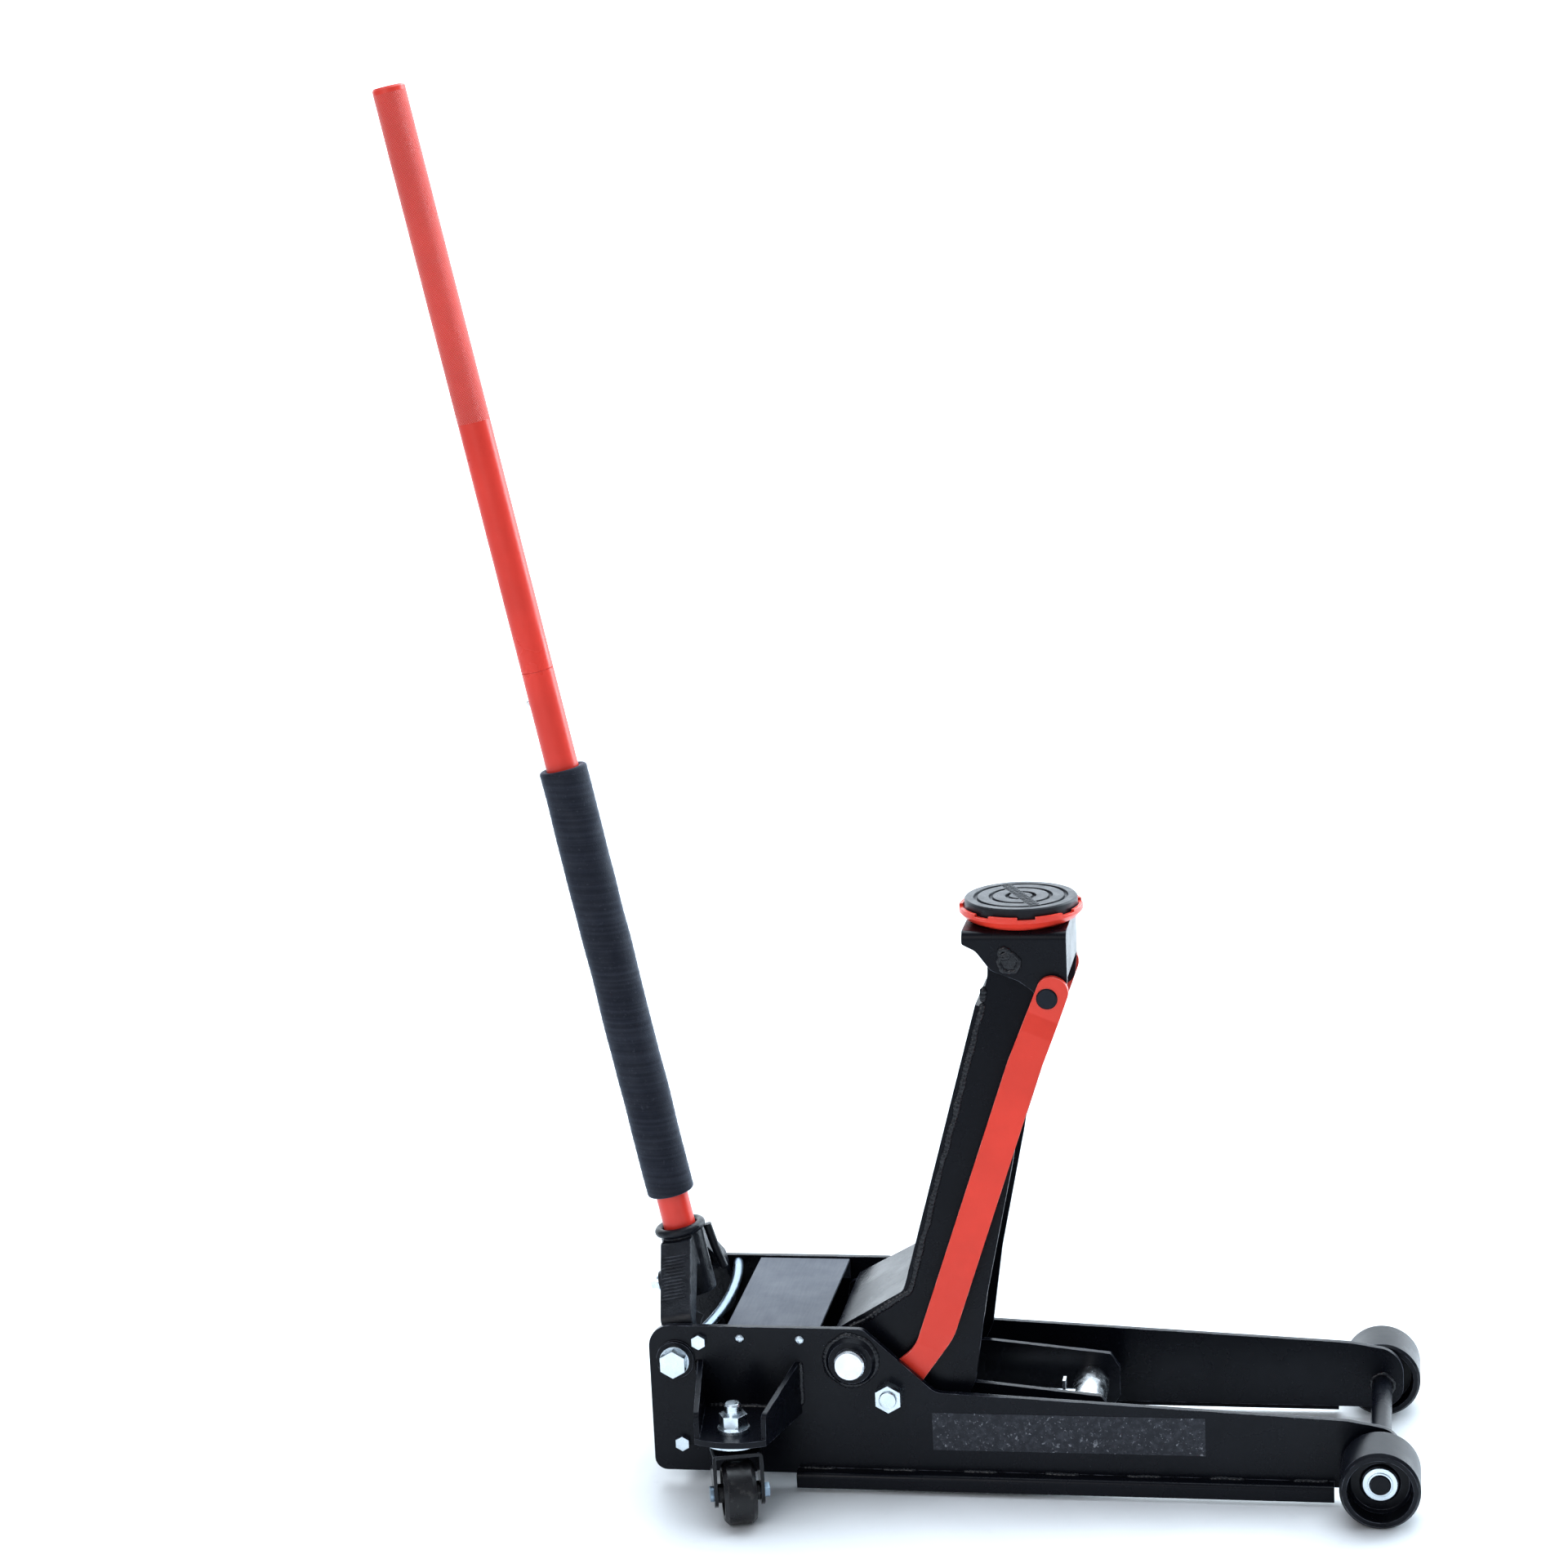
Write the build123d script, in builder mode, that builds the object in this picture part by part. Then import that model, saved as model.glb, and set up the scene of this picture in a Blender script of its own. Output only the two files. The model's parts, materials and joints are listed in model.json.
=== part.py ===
from build123d import *
import math
import os

os.makedirs("parts", exist_ok=True)

# Hydraulic trolley jack, lift arm raised. Millimetres, +X forward, +Z up.
# Lengths called "_back" are distances behind the front axle.

# Frame
plate_outer_y = 101
plate_thickness = 6
frame_rear_back = 698
plate_top_z = 163
plate_bottom_z = 14
rail_width = 14
rail_rear_back = 556
rail_front_back = 43
rail_bottom_z = 4

# Front axle and wheels
wheel_radius = 37.5
wheel_outer_y = plate_outer_y + 61
wheel_width = 56
axle_radius = 10
running_clearance = 0.05

# Lift linkage: arm and radius links form a parallelogram
lift_pivot_back = 500
lift_pivot_z = 131
arm_length = 414.5
arm_angle = 67.5
link_offset_x = 36
link_offset_z = 34
arm_half_width_low = 78
arm_half_width_high = 40
arm_plate_thickness = 6
shaft_radius = 15
shaft_half_length = plate_outer_y + 16
bush_radius = 22
link_thickness = 6
link_inner_y_low = plate_outer_y - 16.5
link_inner_y_high = 52.5
link_pin_radius = 10
link_bolt_radius = 8

# Saddle head
cheek_inner_y = 46.5
cheek_thickness = 5
head_top_above_pivot = 29.3
saddle_forward_of_pivot = 8
saddle_radius = 59
pad_radius = 54
pad_top_above_pivot = 51.7

# Ram and pull links
ram_z = 52
ram_rod_radius = 13
crosshead_back = 284
crosshead_radius = 17.5
crosshead_half_length = 51
journal_radius = 10
pull_link_inner_y = 51.3
pull_link_thickness = 6
crank_x = 82
crank_z = -57.4
cylinder_bore_radius = 17
cylinder_radius = 21
reservoir_radius = 27
cylinder_front_back = 436
cylinder_rear_back = 598

# Handle and yoke
yoke_pivot_back = 672
yoke_pivot_z = 129
handle_tilt = 11
handle_offset = 8
handle_radius = 15.9
handle_top = 1238
handle_joint = 672
handle_bottom = 36
sleeve_radius = 23.6
sleeve_bottom = 136
sleeve_top = 574
cam_drop = 35
cam_radius = 9
pump_spacing = 44
pivot_boss_radius = 18.5
pivot_boss_height = 4

# Casters
caster_stem_back = 606
caster_stem_y = plate_outer_y + 59
caster_turn = 16
caster_trail = 25
caster_wheel_radius = 30
caster_wheel_width = 31
caster_shelf_z = 76
shelf_thickness = 6

# The part's origin is under the middle of its length.
tilt_sine = math.sin(math.radians(handle_tilt))
tilt_cosine = math.cos(math.radians(handle_tilt))
rear_reach = yoke_pivot_back + handle_top * tilt_sine + (handle_radius - handle_offset) * tilt_cosine
axle_x = (rear_reach + wheel_radius) / 2 - wheel_radius
axle_z = wheel_radius

plate_inner_y = plate_outer_y - plate_thickness
lift_x = axle_x - lift_pivot_back
link_x = lift_x + link_offset_x
link_z = lift_pivot_z - link_offset_z
arm_cosine = math.cos(math.radians(arm_angle))
arm_sine = math.sin(math.radians(arm_angle))
head_x = lift_x + arm_length * arm_cosine
head_z = lift_pivot_z + arm_length * arm_sine
link_top_x = head_x + link_offset_x
link_top_z = head_z - link_offset_z
saddle_x = head_x + saddle_forward_of_pivot
crosshead_x = axle_x - crosshead_back
crank_pin_x = lift_x + crank_x
crank_pin_z = lift_pivot_z + crank_z
yoke_x = axle_x - yoke_pivot_back
stem_x = axle_x - caster_stem_back
pad_top_z = head_z + pad_top_above_pivot
arm_taper = (arm_half_width_low - arm_half_width_high) / arm_length

# Sketch planes facing the -Y side: local x up the arm or link, local y to its rear.
arm_plane = Plane(origin=(lift_x, 0, lift_pivot_z), x_dir=(arm_cosine, 0, arm_sine), z_dir=(0, -1, 0))
link_plane = Plane(origin=(link_x, 0, link_z), x_dir=(arm_cosine, 0, arm_sine), z_dir=(0, -1, 0))
handle_axis = Vector(-tilt_sine, 0, tilt_cosine)
handle_across = Vector(tilt_cosine, 0, tilt_sine)
yoke_pivot = Vector(yoke_x, 0, yoke_pivot_z)
# The handle's axis passes in front of the yoke's pivot.
handle_base = yoke_pivot + handle_across * handle_offset


def side_plane(y):
    return Plane(origin=(0, y, 0), x_dir=(1, 0, 0), z_dir=(0, -1, 0))


def save(piece, name):
    piece.part.label = name
    export_step(piece.part, "parts/" + name + ".step")


def disc(x, z, y_low, y_high, radius, mode=Mode.ADD):
    """Cylinder with its axis along Y."""
    with BuildSketch(side_plane(y_high), mode=Mode.PRIVATE) as outline:
        with Locations((x, z)):
            Circle(radius)
    extrude(outline.sketch, amount=y_high - y_low, mode=mode)


def outline_face(plane, points, radii):
    """Closed outline with one corner radius for each point."""
    with BuildSketch(plane, mode=Mode.PRIVATE) as face:
        with BuildLine():
            Polyline(*points, close=True)
        make_face()
        for point, radius in zip(points, radii):
            if radius:
                corner = face.vertices().sort_by_distance(Vector(*point))[0]
                fillet(corner, radius)
    return face.sketch


def turned(centre, axis, radial, points, mode=Mode.ADD):
    """Solid of revolution from (radius, distance along the axis) points."""
    plane = Plane(origin=centre, x_dir=radial, z_dir=Vector(*radial).cross(Vector(*axis)))
    with BuildSketch(plane, mode=Mode.PRIVATE) as half_section:
        with BuildLine():
            Polyline(*points, close=True)
        make_face()
    revolve(half_section.sketch, axis=Axis(centre, axis), mode=mode)


def hex_head(centre, outward, across, height):
    """Hexagonal head or nut standing on its seat."""
    seat = Plane(origin=centre, z_dir=outward)
    with BuildSketch(seat, mode=Mode.PRIVATE) as flats:
        RegularPolygon(radius=across / 2, side_count=6, major_radius=False)
    extrude(flats.sketch, amount=height)


def shank(centre, outward, radius, start, end, mode=Mode.ADD):
    """Round bar along any direction, from start to end along it."""
    with BuildSketch(Plane(origin=centre, z_dir=outward).offset(start), mode=Mode.PRIVATE) as section:
        Circle(radius)
    extrude(section.sketch, amount=end - start, mode=mode)


# ---------------------------------------------------------------- frame
plate_outline = [
    (axle_x - frame_rear_back, plate_bottom_z),
    (axle_x - frame_rear_back, plate_top_z),
    (axle_x - 488, plate_top_z),
    (axle_x - 420, 100),
    (axle_x - 30, 81),
    (axle_x + 21, 72),
    (axle_x + 21, plate_bottom_z),
]
plate_radii = [12, 22, 10, 18, 60, 26, 22]
rivet_positions = [(axle_x - 608, 151), (axle_x - 549.5, 151)]
frame_bolt_positions = [(axle_x - 648, 148), (axle_x - 669, 43)]
rivet_radius = 2.4
frame_bolt_radius = 4

with BuildPart() as side_plate_right:
    extrude(outline_face(side_plane(-plate_inner_y), plate_outline, plate_radii), amount=plate_thickness)
    rail_outline = [
        (-plate_outer_y, plate_bottom_z),
        (-plate_outer_y, plate_bottom_z + 6),
        (-plate_outer_y - rail_width, plate_bottom_z + 6),
        (-plate_outer_y - rail_width, rail_bottom_z),
        (-plate_outer_y - rail_width + 5, rail_bottom_z),
        (-plate_outer_y - rail_width + 5, plate_bottom_z),
    ]
    rail_plane = Plane(origin=(axle_x - rail_rear_back, 0, 0), x_dir=(0, 1, 0), z_dir=(1, 0, 0))
    rail_length = rail_rear_back - rail_front_back
    extrude(outline_face(rail_plane, rail_outline, [0, 0, 5, 2, 0, 0]), amount=rail_length)
    # Welded bosses: lift shaft collar, yoke pivot boss, and the link's spacer inside
    collar_profile = [(0, -1), (24.5, -1), (24.5, 2), (21, 7), (0, 7)]
    turned((lift_x, -plate_outer_y, lift_pivot_z), (0, -1, 0), (0, 0, 1), collar_profile)
    disc(yoke_x, yoke_pivot_z, -plate_outer_y - pivot_boss_height, -plate_outer_y, pivot_boss_radius)
    disc(link_x, link_z, -plate_inner_y, -link_inner_y_low - link_thickness - 0.3, 14)
    disc(axle_x, axle_z, -plate_outer_y, -plate_inner_y, axle_radius, Mode.SUBTRACT)
    disc(lift_x, lift_pivot_z, -shaft_half_length, 0, shaft_radius, Mode.SUBTRACT)
    disc(link_x, link_z, -shaft_half_length, 0, link_bolt_radius, Mode.SUBTRACT)
    disc(yoke_x, yoke_pivot_z, -shaft_half_length, 0, link_bolt_radius, Mode.SUBTRACT)
    for x, z in rivet_positions:
        disc(x, z, -plate_outer_y, -plate_inner_y, rivet_radius, Mode.SUBTRACT)
    for x, z in frame_bolt_positions:
        disc(x, z, -plate_outer_y, -plate_inner_y, frame_bolt_radius, Mode.SUBTRACT)
save(side_plate_right, "side_plate_right")

with BuildPart() as side_plate_left:
    mirror(side_plate_right.part, about=Plane.XZ)
save(side_plate_left, "side_plate_left")

cover_rear_x = axle_x - 621
cover_front_x = axle_x - 530
cover_thickness = 3
flange_depth = 22
with BuildPart() as cover_plate:
    with BuildSketch(Plane.XY.offset(plate_top_z - flange_depth)):
        with Locations(((cover_rear_x + cover_front_x) / 2, 0)):
            Rectangle(cover_front_x - cover_rear_x, 2 * plate_inner_y)
    extrude(amount=flange_depth - 1)
    fillet(cover_plate.edges().filter_by(Axis.X).group_by(Axis.Z)[-1], 4)
    with BuildSketch(Plane.XY.offset(plate_top_z - flange_depth)):
        with Locations(((cover_rear_x + cover_front_x) / 2, 0)):
            Rectangle(cover_front_x - cover_rear_x, 2 * (plate_inner_y - cover_thickness))
    extrude(amount=flange_depth - 1 - cover_thickness, mode=Mode.SUBTRACT)
    for x, z in rivet_positions:
        disc(x, z, -plate_inner_y, plate_inner_y, rivet_radius, Mode.SUBTRACT)
save(cover_plate, "cover_plate")

with BuildPart() as cover_rivets:
    for side in (-1, 1):
        for x, z in rivet_positions:
            outward = (0, side, 0)
            shank((x, side * plate_inner_y, z), outward, rivet_radius, -cover_thickness, plate_thickness)
            head_profile = [(0, 6), (4.4, 6), (4.2, 7), (3, 8), (1.6, 8.3), (1.5, 7.4), (0, 7.4)]
            turned((x, side * plate_inner_y, z), outward, (1, 0, 0), head_profile)
save(cover_rivets, "cover_rivets")

with BuildPart() as frame_bolts:
    for side in (-1, 1):
        for x, z in frame_bolt_positions:
            seat = (x, side * plate_outer_y, z)
            hex_head(seat, (0, side, 0), 13, 5.5)
            shank(seat, (0, side, 0), frame_bolt_radius, -plate_thickness, 0)
save(frame_bolts, "frame_bolts")

stop_rod_x = axle_x - 645
with BuildPart() as stop_rod:
    rod_end_y = plate_inner_y - 1.4
    with BuildLine() as stop_path:
        ThreePointArc((stop_rod_x, -rod_end_y, 156), (stop_rod_x + 9, 0, 156), (stop_rod_x, rod_end_y, 156))
    with BuildSketch(Plane(origin=stop_path.line @ 0, z_dir=stop_path.line % 0)):
        Circle(5)
    sweep()
save(stop_rod, "stop_rod")

# ---------------------------------------------------------------- front wheels
hub_outer_y = wheel_outer_y - 19
with BuildPart() as front_axle:
    disc(axle_x, axle_z, -hub_outer_y - 4, hub_outer_y + 4, axle_radius)
    chamfer(front_axle.faces().filter_by(Axis.Y).edges(), 1)
save(front_axle, "front_axle")

wheel_inner_y = wheel_outer_y - wheel_width
with BuildPart() as front_wheel_right:
    wheel_profile = [
        (axle_radius + running_clearance, -hub_outer_y),
        (17, -hub_outer_y),
        (19, -hub_outer_y + 3),
        (27, -hub_outer_y + 3),
        (29.5, -hub_outer_y),
        (30.5, -wheel_outer_y),
        (35, -wheel_outer_y),
        (wheel_radius, -wheel_outer_y + 3),
        (wheel_radius, -wheel_inner_y - 3),
        (35, -wheel_inner_y),
        (30.5, -wheel_inner_y),
        (29, -wheel_inner_y - 18),
        (17, -wheel_inner_y - 18),
        (16, -wheel_inner_y - 4),
        (axle_radius + running_clearance, -wheel_inner_y - 4),
    ]
    turned((axle_x, 0, axle_z), (0, 1, 0), (0, 0, 1), wheel_profile)
save(front_wheel_right, "front_wheel_right")

with BuildPart() as front_wheel_left:
    mirror(front_wheel_right.part, about=Plane.XZ)
save(front_wheel_left, "front_wheel_left")

with BuildPart() as axle_rings:
    for side in (-1, 1):
        ring_profile = [
            (axle_radius, hub_outer_y + 0.3),
            (16, hub_outer_y + 0.3),
            (16, hub_outer_y + 1.8),
            (11.6, hub_outer_y + 1.8),
            (11.6, hub_outer_y + 3),
            (axle_radius, hub_outer_y + 3),
        ]
        turned((axle_x, 0, axle_z), (0, side, 0), (0, 0, 1), ring_profile)
save(axle_rings, "axle_rings")

# ---------------------------------------------------------------- lift shaft and link bolts
with BuildPart() as lift_shaft:
    disc(lift_x, lift_pivot_z, -shaft_half_length, shaft_half_length, shaft_radius)
    chamfer(lift_shaft.faces().filter_by(Axis.Y).edges(), 1.5)
save(lift_shaft, "lift_shaft")

with BuildPart() as link_bolts:
    for side in (-1, 1):
        shank((link_x, 0, link_z), (0, side, 0), link_bolt_radius, link_inner_y_low - 0.3, plate_outer_y + 16)
        shank((link_x, 0, link_z), (0, side, 0), 13, link_inner_y_low - 3.3, link_inner_y_low - 0.3)
save(link_bolts, "link_bolts")

with BuildPart() as link_nuts:
    for side in (-1, 1):
        hex_head((link_x, side * plate_outer_y, link_z), (0, side, 0), 24, 13)
        link_centre = (link_x, 0, link_z)
        shank(link_centre, (0, side, 0), link_bolt_radius, plate_outer_y, plate_outer_y + 14, Mode.SUBTRACT)
save(link_nuts, "link_nuts")

# ---------------------------------------------------------------- lift arm
taper_angle = math.atan(arm_taper)
taper_cosine = math.cos(taper_angle)
taper_sine = math.sin(taper_angle)
arm_side_outline = [
    (-32, 6),
    (-42, -90),
    (-38, -116),
    (20, -118),
    (104, -97.5),
    (232, -74),
    (arm_length - 2.5, -34),
    (arm_length + 21.5, -14),
    (arm_length + 19.5, 12),
    (arm_length - 2.5, 21),
    (arm_length - 20.5, 14),
    (arm_length - 52.7, 8.3),
    (73.3, -28.7),
    (10, 19.9),
    (4, 31),
    (-22, 24),
]
arm_side_radii = [10, 20, 20, 8, 60, 0, 18, 16, 12, 10, 6, 0, 8, 0, 8, 14]

with BuildPart() as arm_plate_right:
    arm_side_plane = Plane(
        origin=(lift_x, -arm_half_width_low, lift_pivot_z),
        x_dir=(arm_cosine * taper_cosine, taper_sine, arm_sine * taper_cosine),
        z_dir=(taper_sine * arm_cosine, -taper_cosine, taper_sine * arm_sine),
    )
    extrude(outline_face(arm_side_plane, arm_side_outline, arm_side_radii), amount=-arm_plate_thickness)
    disc(lift_x, lift_pivot_z, -100, 0, shaft_radius + running_clearance, Mode.SUBTRACT)
    disc(head_x, head_z, -60, 0, link_pin_radius + running_clearance, Mode.SUBTRACT)
    disc(crank_pin_x, crank_pin_z, -100, 0, journal_radius, Mode.SUBTRACT)
save(arm_plate_right, "arm_plate_right")

with BuildPart() as arm_plate_left:
    mirror(arm_plate_right.part, about=Plane.XZ)
save(arm_plate_left, "arm_plate_left")

with BuildPart() as arm_rear_plate:
    sheet_section = [
        (arm_length - 53.5, 14.5),
        (75, -22),
        (14, 25),
        (10.6, 20.6),
        (73.5, -27.9),
        (arm_length - 52.7, 8.9),
    ]
    extrude(outline_face(arm_plane, sheet_section, [0, 10, 0, 0, 4, 0]), amount=90, both=True)
    plan_plane = Plane(
        origin=(lift_x, 0, lift_pivot_z),
        x_dir=(arm_cosine, 0, arm_sine),
        z_dir=(-arm_sine, 0, arm_cosine),
    )
    plan_near = arm_half_width_low
    plan_end = arm_length - 44.5
    plan_far = arm_half_width_low - arm_taper * plan_end
    plan_outline = [(0, -plan_near), (plan_end, -plan_far), (plan_end, plan_far), (0, plan_near)]
    extrude(outline_face(plan_plane, plan_outline, [0, 0, 0, 0]), amount=60, both=True, mode=Mode.INTERSECT)
save(arm_rear_plate, "arm_rear_plate")

with BuildPart() as arm_bush:
    disc(lift_x, lift_pivot_z, -69.5, 69.5, bush_radius)
    disc(lift_x, lift_pivot_z, -69.5, 69.5, shaft_radius + running_clearance, Mode.SUBTRACT)
save(arm_bush, "arm_bush")

with BuildPart() as crank_pins:
    for side in (-1, 1):
        crank_pin_start = pull_link_inner_y + pull_link_thickness + 1
        crank_half_width = arm_half_width_low + 2
        shank((crank_pin_x, 0, crank_pin_z), (0, side, 0), journal_radius, crank_pin_start, crank_half_width)
save(crank_pins, "crank_pins")

# ---------------------------------------------------------------- radius links
link_side_outline = [
    (-16, 12),
    (6, 17),
    (50, -6),
    (arm_length - 69.5, 12.7),
    (arm_length - 14.5, 12.8),
    (arm_length + 22.5, 13),
    (arm_length + 22.5, -17),
    (arm_length - 14.5, -18.5),
    (arm_length - 69.5, -19.5),
    (75, -37),
    (-14, -16),
]
link_side_radii = [14, 12, 40, 0, 0, 14, 15, 0, 0, 60, 14]
bend_low = 55
bend_high = arm_length - 36.5
joggle_top = arm_length - 19.5
joggle = 4.5
with BuildPart() as radius_link_right:
    extrude(outline_face(link_plane, link_side_outline, link_side_radii), amount=120)
    link_plan_plane = Plane(
        origin=(link_x, 0, link_z),
        x_dir=(arm_cosine, 0, arm_sine),
        z_dir=(-arm_sine, 0, arm_cosine),
    )
    low_outer = link_inner_y_low + link_thickness
    high_outer = link_inner_y_high + link_thickness
    bar_outline = [
        (-40, -link_inner_y_low),
        (bend_low, -link_inner_y_low),
        (bend_high, -link_inner_y_high - joggle),
        (joggle_top, -link_inner_y_high),
        (arm_length + 45, -link_inner_y_high),
        (arm_length + 45, -high_outer),
        (joggle_top + 0.6, -high_outer),
        (bend_high + 0.6, -high_outer - joggle),
        (bend_low + 0.6, -low_outer),
        (-40, -low_outer),
    ]
    bar_radii = [0, 14, 8, 8, 0, 0, 8, 8, 8, 0]
    bar_face = outline_face(link_plan_plane, bar_outline, bar_radii)
    extrude(bar_face, amount=70, both=True, mode=Mode.INTERSECT)
    disc(link_x, link_z, -shaft_half_length, 0, link_bolt_radius + running_clearance, Mode.SUBTRACT)
    disc(link_top_x, link_top_z, -shaft_half_length, 0, link_pin_radius + running_clearance, Mode.SUBTRACT)
save(radius_link_right, "radius_link_right")

with BuildPart() as radius_link_left:
    mirror(radius_link_right.part, about=Plane.XZ)
save(radius_link_left, "radius_link_left")

# ---------------------------------------------------------------- saddle head
cheek_outer_y = cheek_inner_y + cheek_thickness
head_top_z = head_z + head_top_above_pivot
head_rear_x = head_x - 44
head_front_x = head_x + 55
cheek_outline = [
    (head_rear_x, head_top_z),
    (head_rear_x, head_z + 17),
    (head_x - 31, head_z + 10.5),
    (head_x - 17, head_z - 8.5),
    (head_x + 9, head_z - 18.5),
    (head_x + 23, head_z - 29),
    (head_x + 27, head_z - 51),
    (head_x + 52, head_z - 48),
    (head_front_x, head_z - 18),
    (head_front_x, head_top_z),
]
with BuildPart() as head_bracket:
    cheek_radii = [0, 3, 14, 12, 20, 6, 11, 14, 4, 0]
    for y in (-cheek_inner_y, cheek_outer_y):
        extrude(outline_face(side_plane(y), cheek_outline, cheek_radii), amount=cheek_thickness)
    with BuildSketch(Plane.XY.offset(head_top_z)):
        with Locations(((head_rear_x + head_front_x) / 2, 0)):
            Rectangle(head_front_x - head_rear_x, 2 * cheek_outer_y)
    extrude(amount=-6)
    with BuildSketch(Plane(origin=(head_front_x, 0, 0), x_dir=(0, 1, 0), z_dir=(1, 0, 0))):
        with Locations((0, (head_top_z + head_z - 16) / 2)):
            Rectangle(2 * cheek_outer_y, head_top_z - head_z + 16)
    extrude(amount=-6)
    fillet(head_bracket.edges().filter_by(Axis.X).group_by(Axis.Z)[-1], 8)
    with BuildSketch(Plane.XY.offset(head_top_z)):
        with Locations((saddle_x, 0)):
            Circle(14 + running_clearance)
    extrude(amount=-8, mode=Mode.SUBTRACT)
    disc(head_x, head_z, -60, 60, link_pin_radius, Mode.SUBTRACT)
    disc(link_top_x, link_top_z, -60, 60, link_pin_radius, Mode.SUBTRACT)
save(head_bracket, "head_bracket")

with BuildPart() as head_pins:
    for side in (-1, 1):
        shank((head_x, 0, head_z), (0, side, 0), link_pin_radius, 30, cheek_outer_y + 0.4)
save(head_pins, "head_pins")

with BuildPart() as link_pins:
    for side in (-1, 1):
        shank((link_top_x, 0, link_top_z), (0, side, 0), link_pin_radius, cheek_inner_y, 60)
    chamfer(link_pins.faces().filter_by(Axis.Y).group_by(Axis.Y)[0].edges(), 1)
    chamfer(link_pins.faces().filter_by(Axis.Y).group_by(Axis.Y)[-1].edges(), 1)
save(link_pins, "link_pins")

saddle_base_z = head_top_z + 0.3
with BuildPart() as saddle_cup:
    cup_profile = [
        (0, -10),
        (14, -10),
        (14, 0),
        (47, 0),
        (saddle_radius - 5, 4),
        (saddle_radius, 9.5),
        (saddle_radius, 14.8),
        (pad_radius + 1.5, 14.8),
        (pad_radius + 0.2, 9),
        (0, 9),
    ]
    turned((saddle_x, 0, saddle_base_z), (0, 0, 1), (1, 0, 0), cup_profile)
    # Notches around the rim
    with BuildSketch(Plane.XY.offset(saddle_base_z + 12.2)):
        with Locations((saddle_x, 0)):
            with PolarLocations(saddle_radius, 8, start_angle=11):
                Rectangle(12, 17)
    extrude(amount=5, mode=Mode.SUBTRACT)
save(saddle_cup, "saddle_cup")

with BuildPart() as saddle_pad:
    pad_height = pad_top_z - saddle_base_z
    pad_profile = [(0, 9), (pad_radius, 9), (pad_radius, pad_height - 1.5), (pad_radius - 1.5, pad_height)]
    for ratio in (0.8, 0.53, 0.24):
        groove = pad_radius * ratio
        pad_profile += [(groove + 2.1, pad_height), (groove + 1.4, pad_height - 2.5)]
        pad_profile += [(groove - 1.4, pad_height - 2.5), (groove - 2.1, pad_height)]
    pad_profile += [(0, pad_height)]
    turned((saddle_x, 0, saddle_base_z), (0, 0, 1), (1, 0, 0), pad_profile)
save(saddle_pad, "saddle_pad")

with BuildPart() as saddle_ring:
    ring_profile = [(14, -9.3), (20, -9.3), (20, -6.8), (14, -6.8)]
    turned((saddle_x, 0, saddle_base_z), (0, 0, 1), (1, 0, 0), ring_profile)
save(saddle_ring, "saddle_ring")

# ---------------------------------------------------------------- ram and pull links
ring_start_y = pull_link_inner_y + pull_link_thickness + 0.3
with BuildPart() as crosshead_pin:
    disc(crosshead_x, ram_z, -crosshead_half_length, crosshead_half_length, crosshead_radius)
    disc(crosshead_x, ram_z, -ring_start_y - 2.2, ring_start_y + 2.2, journal_radius)
    shank((crosshead_x, 0, ram_z), (-1, 0, 0), ram_rod_radius, 7.5, 30, Mode.SUBTRACT)
save(crosshead_pin, "crosshead_pin")

with BuildPart() as crosshead_rings:
    for side in (-1, 1):
        ring_profile = [
            (journal_radius, ring_start_y),
            (14, ring_start_y),
            (14, ring_start_y + 1.4),
            (journal_radius, ring_start_y + 1.4),
        ]
        turned((crosshead_x, 0, ram_z), (0, side, 0), (0, 0, 1), ring_profile)
save(crosshead_rings, "crosshead_rings")

piston_rear = axle_x - 470
with BuildPart() as ram_rod:
    shank((0, 0, ram_z), (1, 0, 0), ram_rod_radius, piston_rear, crosshead_x - 7.5)
    shank((0, 0, ram_z), (1, 0, 0), cylinder_bore_radius - running_clearance, piston_rear, piston_rear + 20)
    # Stop clip standing on the rod behind the crosshead
    with BuildSketch(Plane.XY.offset(ram_z + ram_rod_radius - 2)):
        with Locations((crosshead_x - 22, 0)):
            Rectangle(3, 12)
    extrude(amount=13)
save(ram_rod, "ram_rod")

pull_outline = [
    (crosshead_x + 28, 68),
    (crosshead_x + 19, 82),
    (crank_pin_x + 33, 94),
    (crank_pin_x - 14, 94),
    (crank_pin_x - 21, 66),
    (crank_pin_x - 4, 52),
    (crosshead_x - 18, 24),
    (crosshead_x + 18, 24),
    (crosshead_x + 28, 38),
]
with BuildPart() as pull_link_right:
    pull_radii = [3, 3, 30, 12, 12, 14, 12, 3, 3]
    pull_face = outline_face(side_plane(-pull_link_inner_y), pull_outline, pull_radii)
    extrude(pull_face, amount=pull_link_thickness)
    disc(crosshead_x, ram_z, -70, 0, journal_radius + running_clearance, Mode.SUBTRACT)
    disc(crank_pin_x, crank_pin_z, -70, 0, journal_radius + running_clearance, Mode.SUBTRACT)
save(pull_link_right, "pull_link_right")

with BuildPart() as pull_link_left:
    mirror(pull_link_right.part, about=Plane.XZ)
save(pull_link_left, "pull_link_left")

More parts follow.
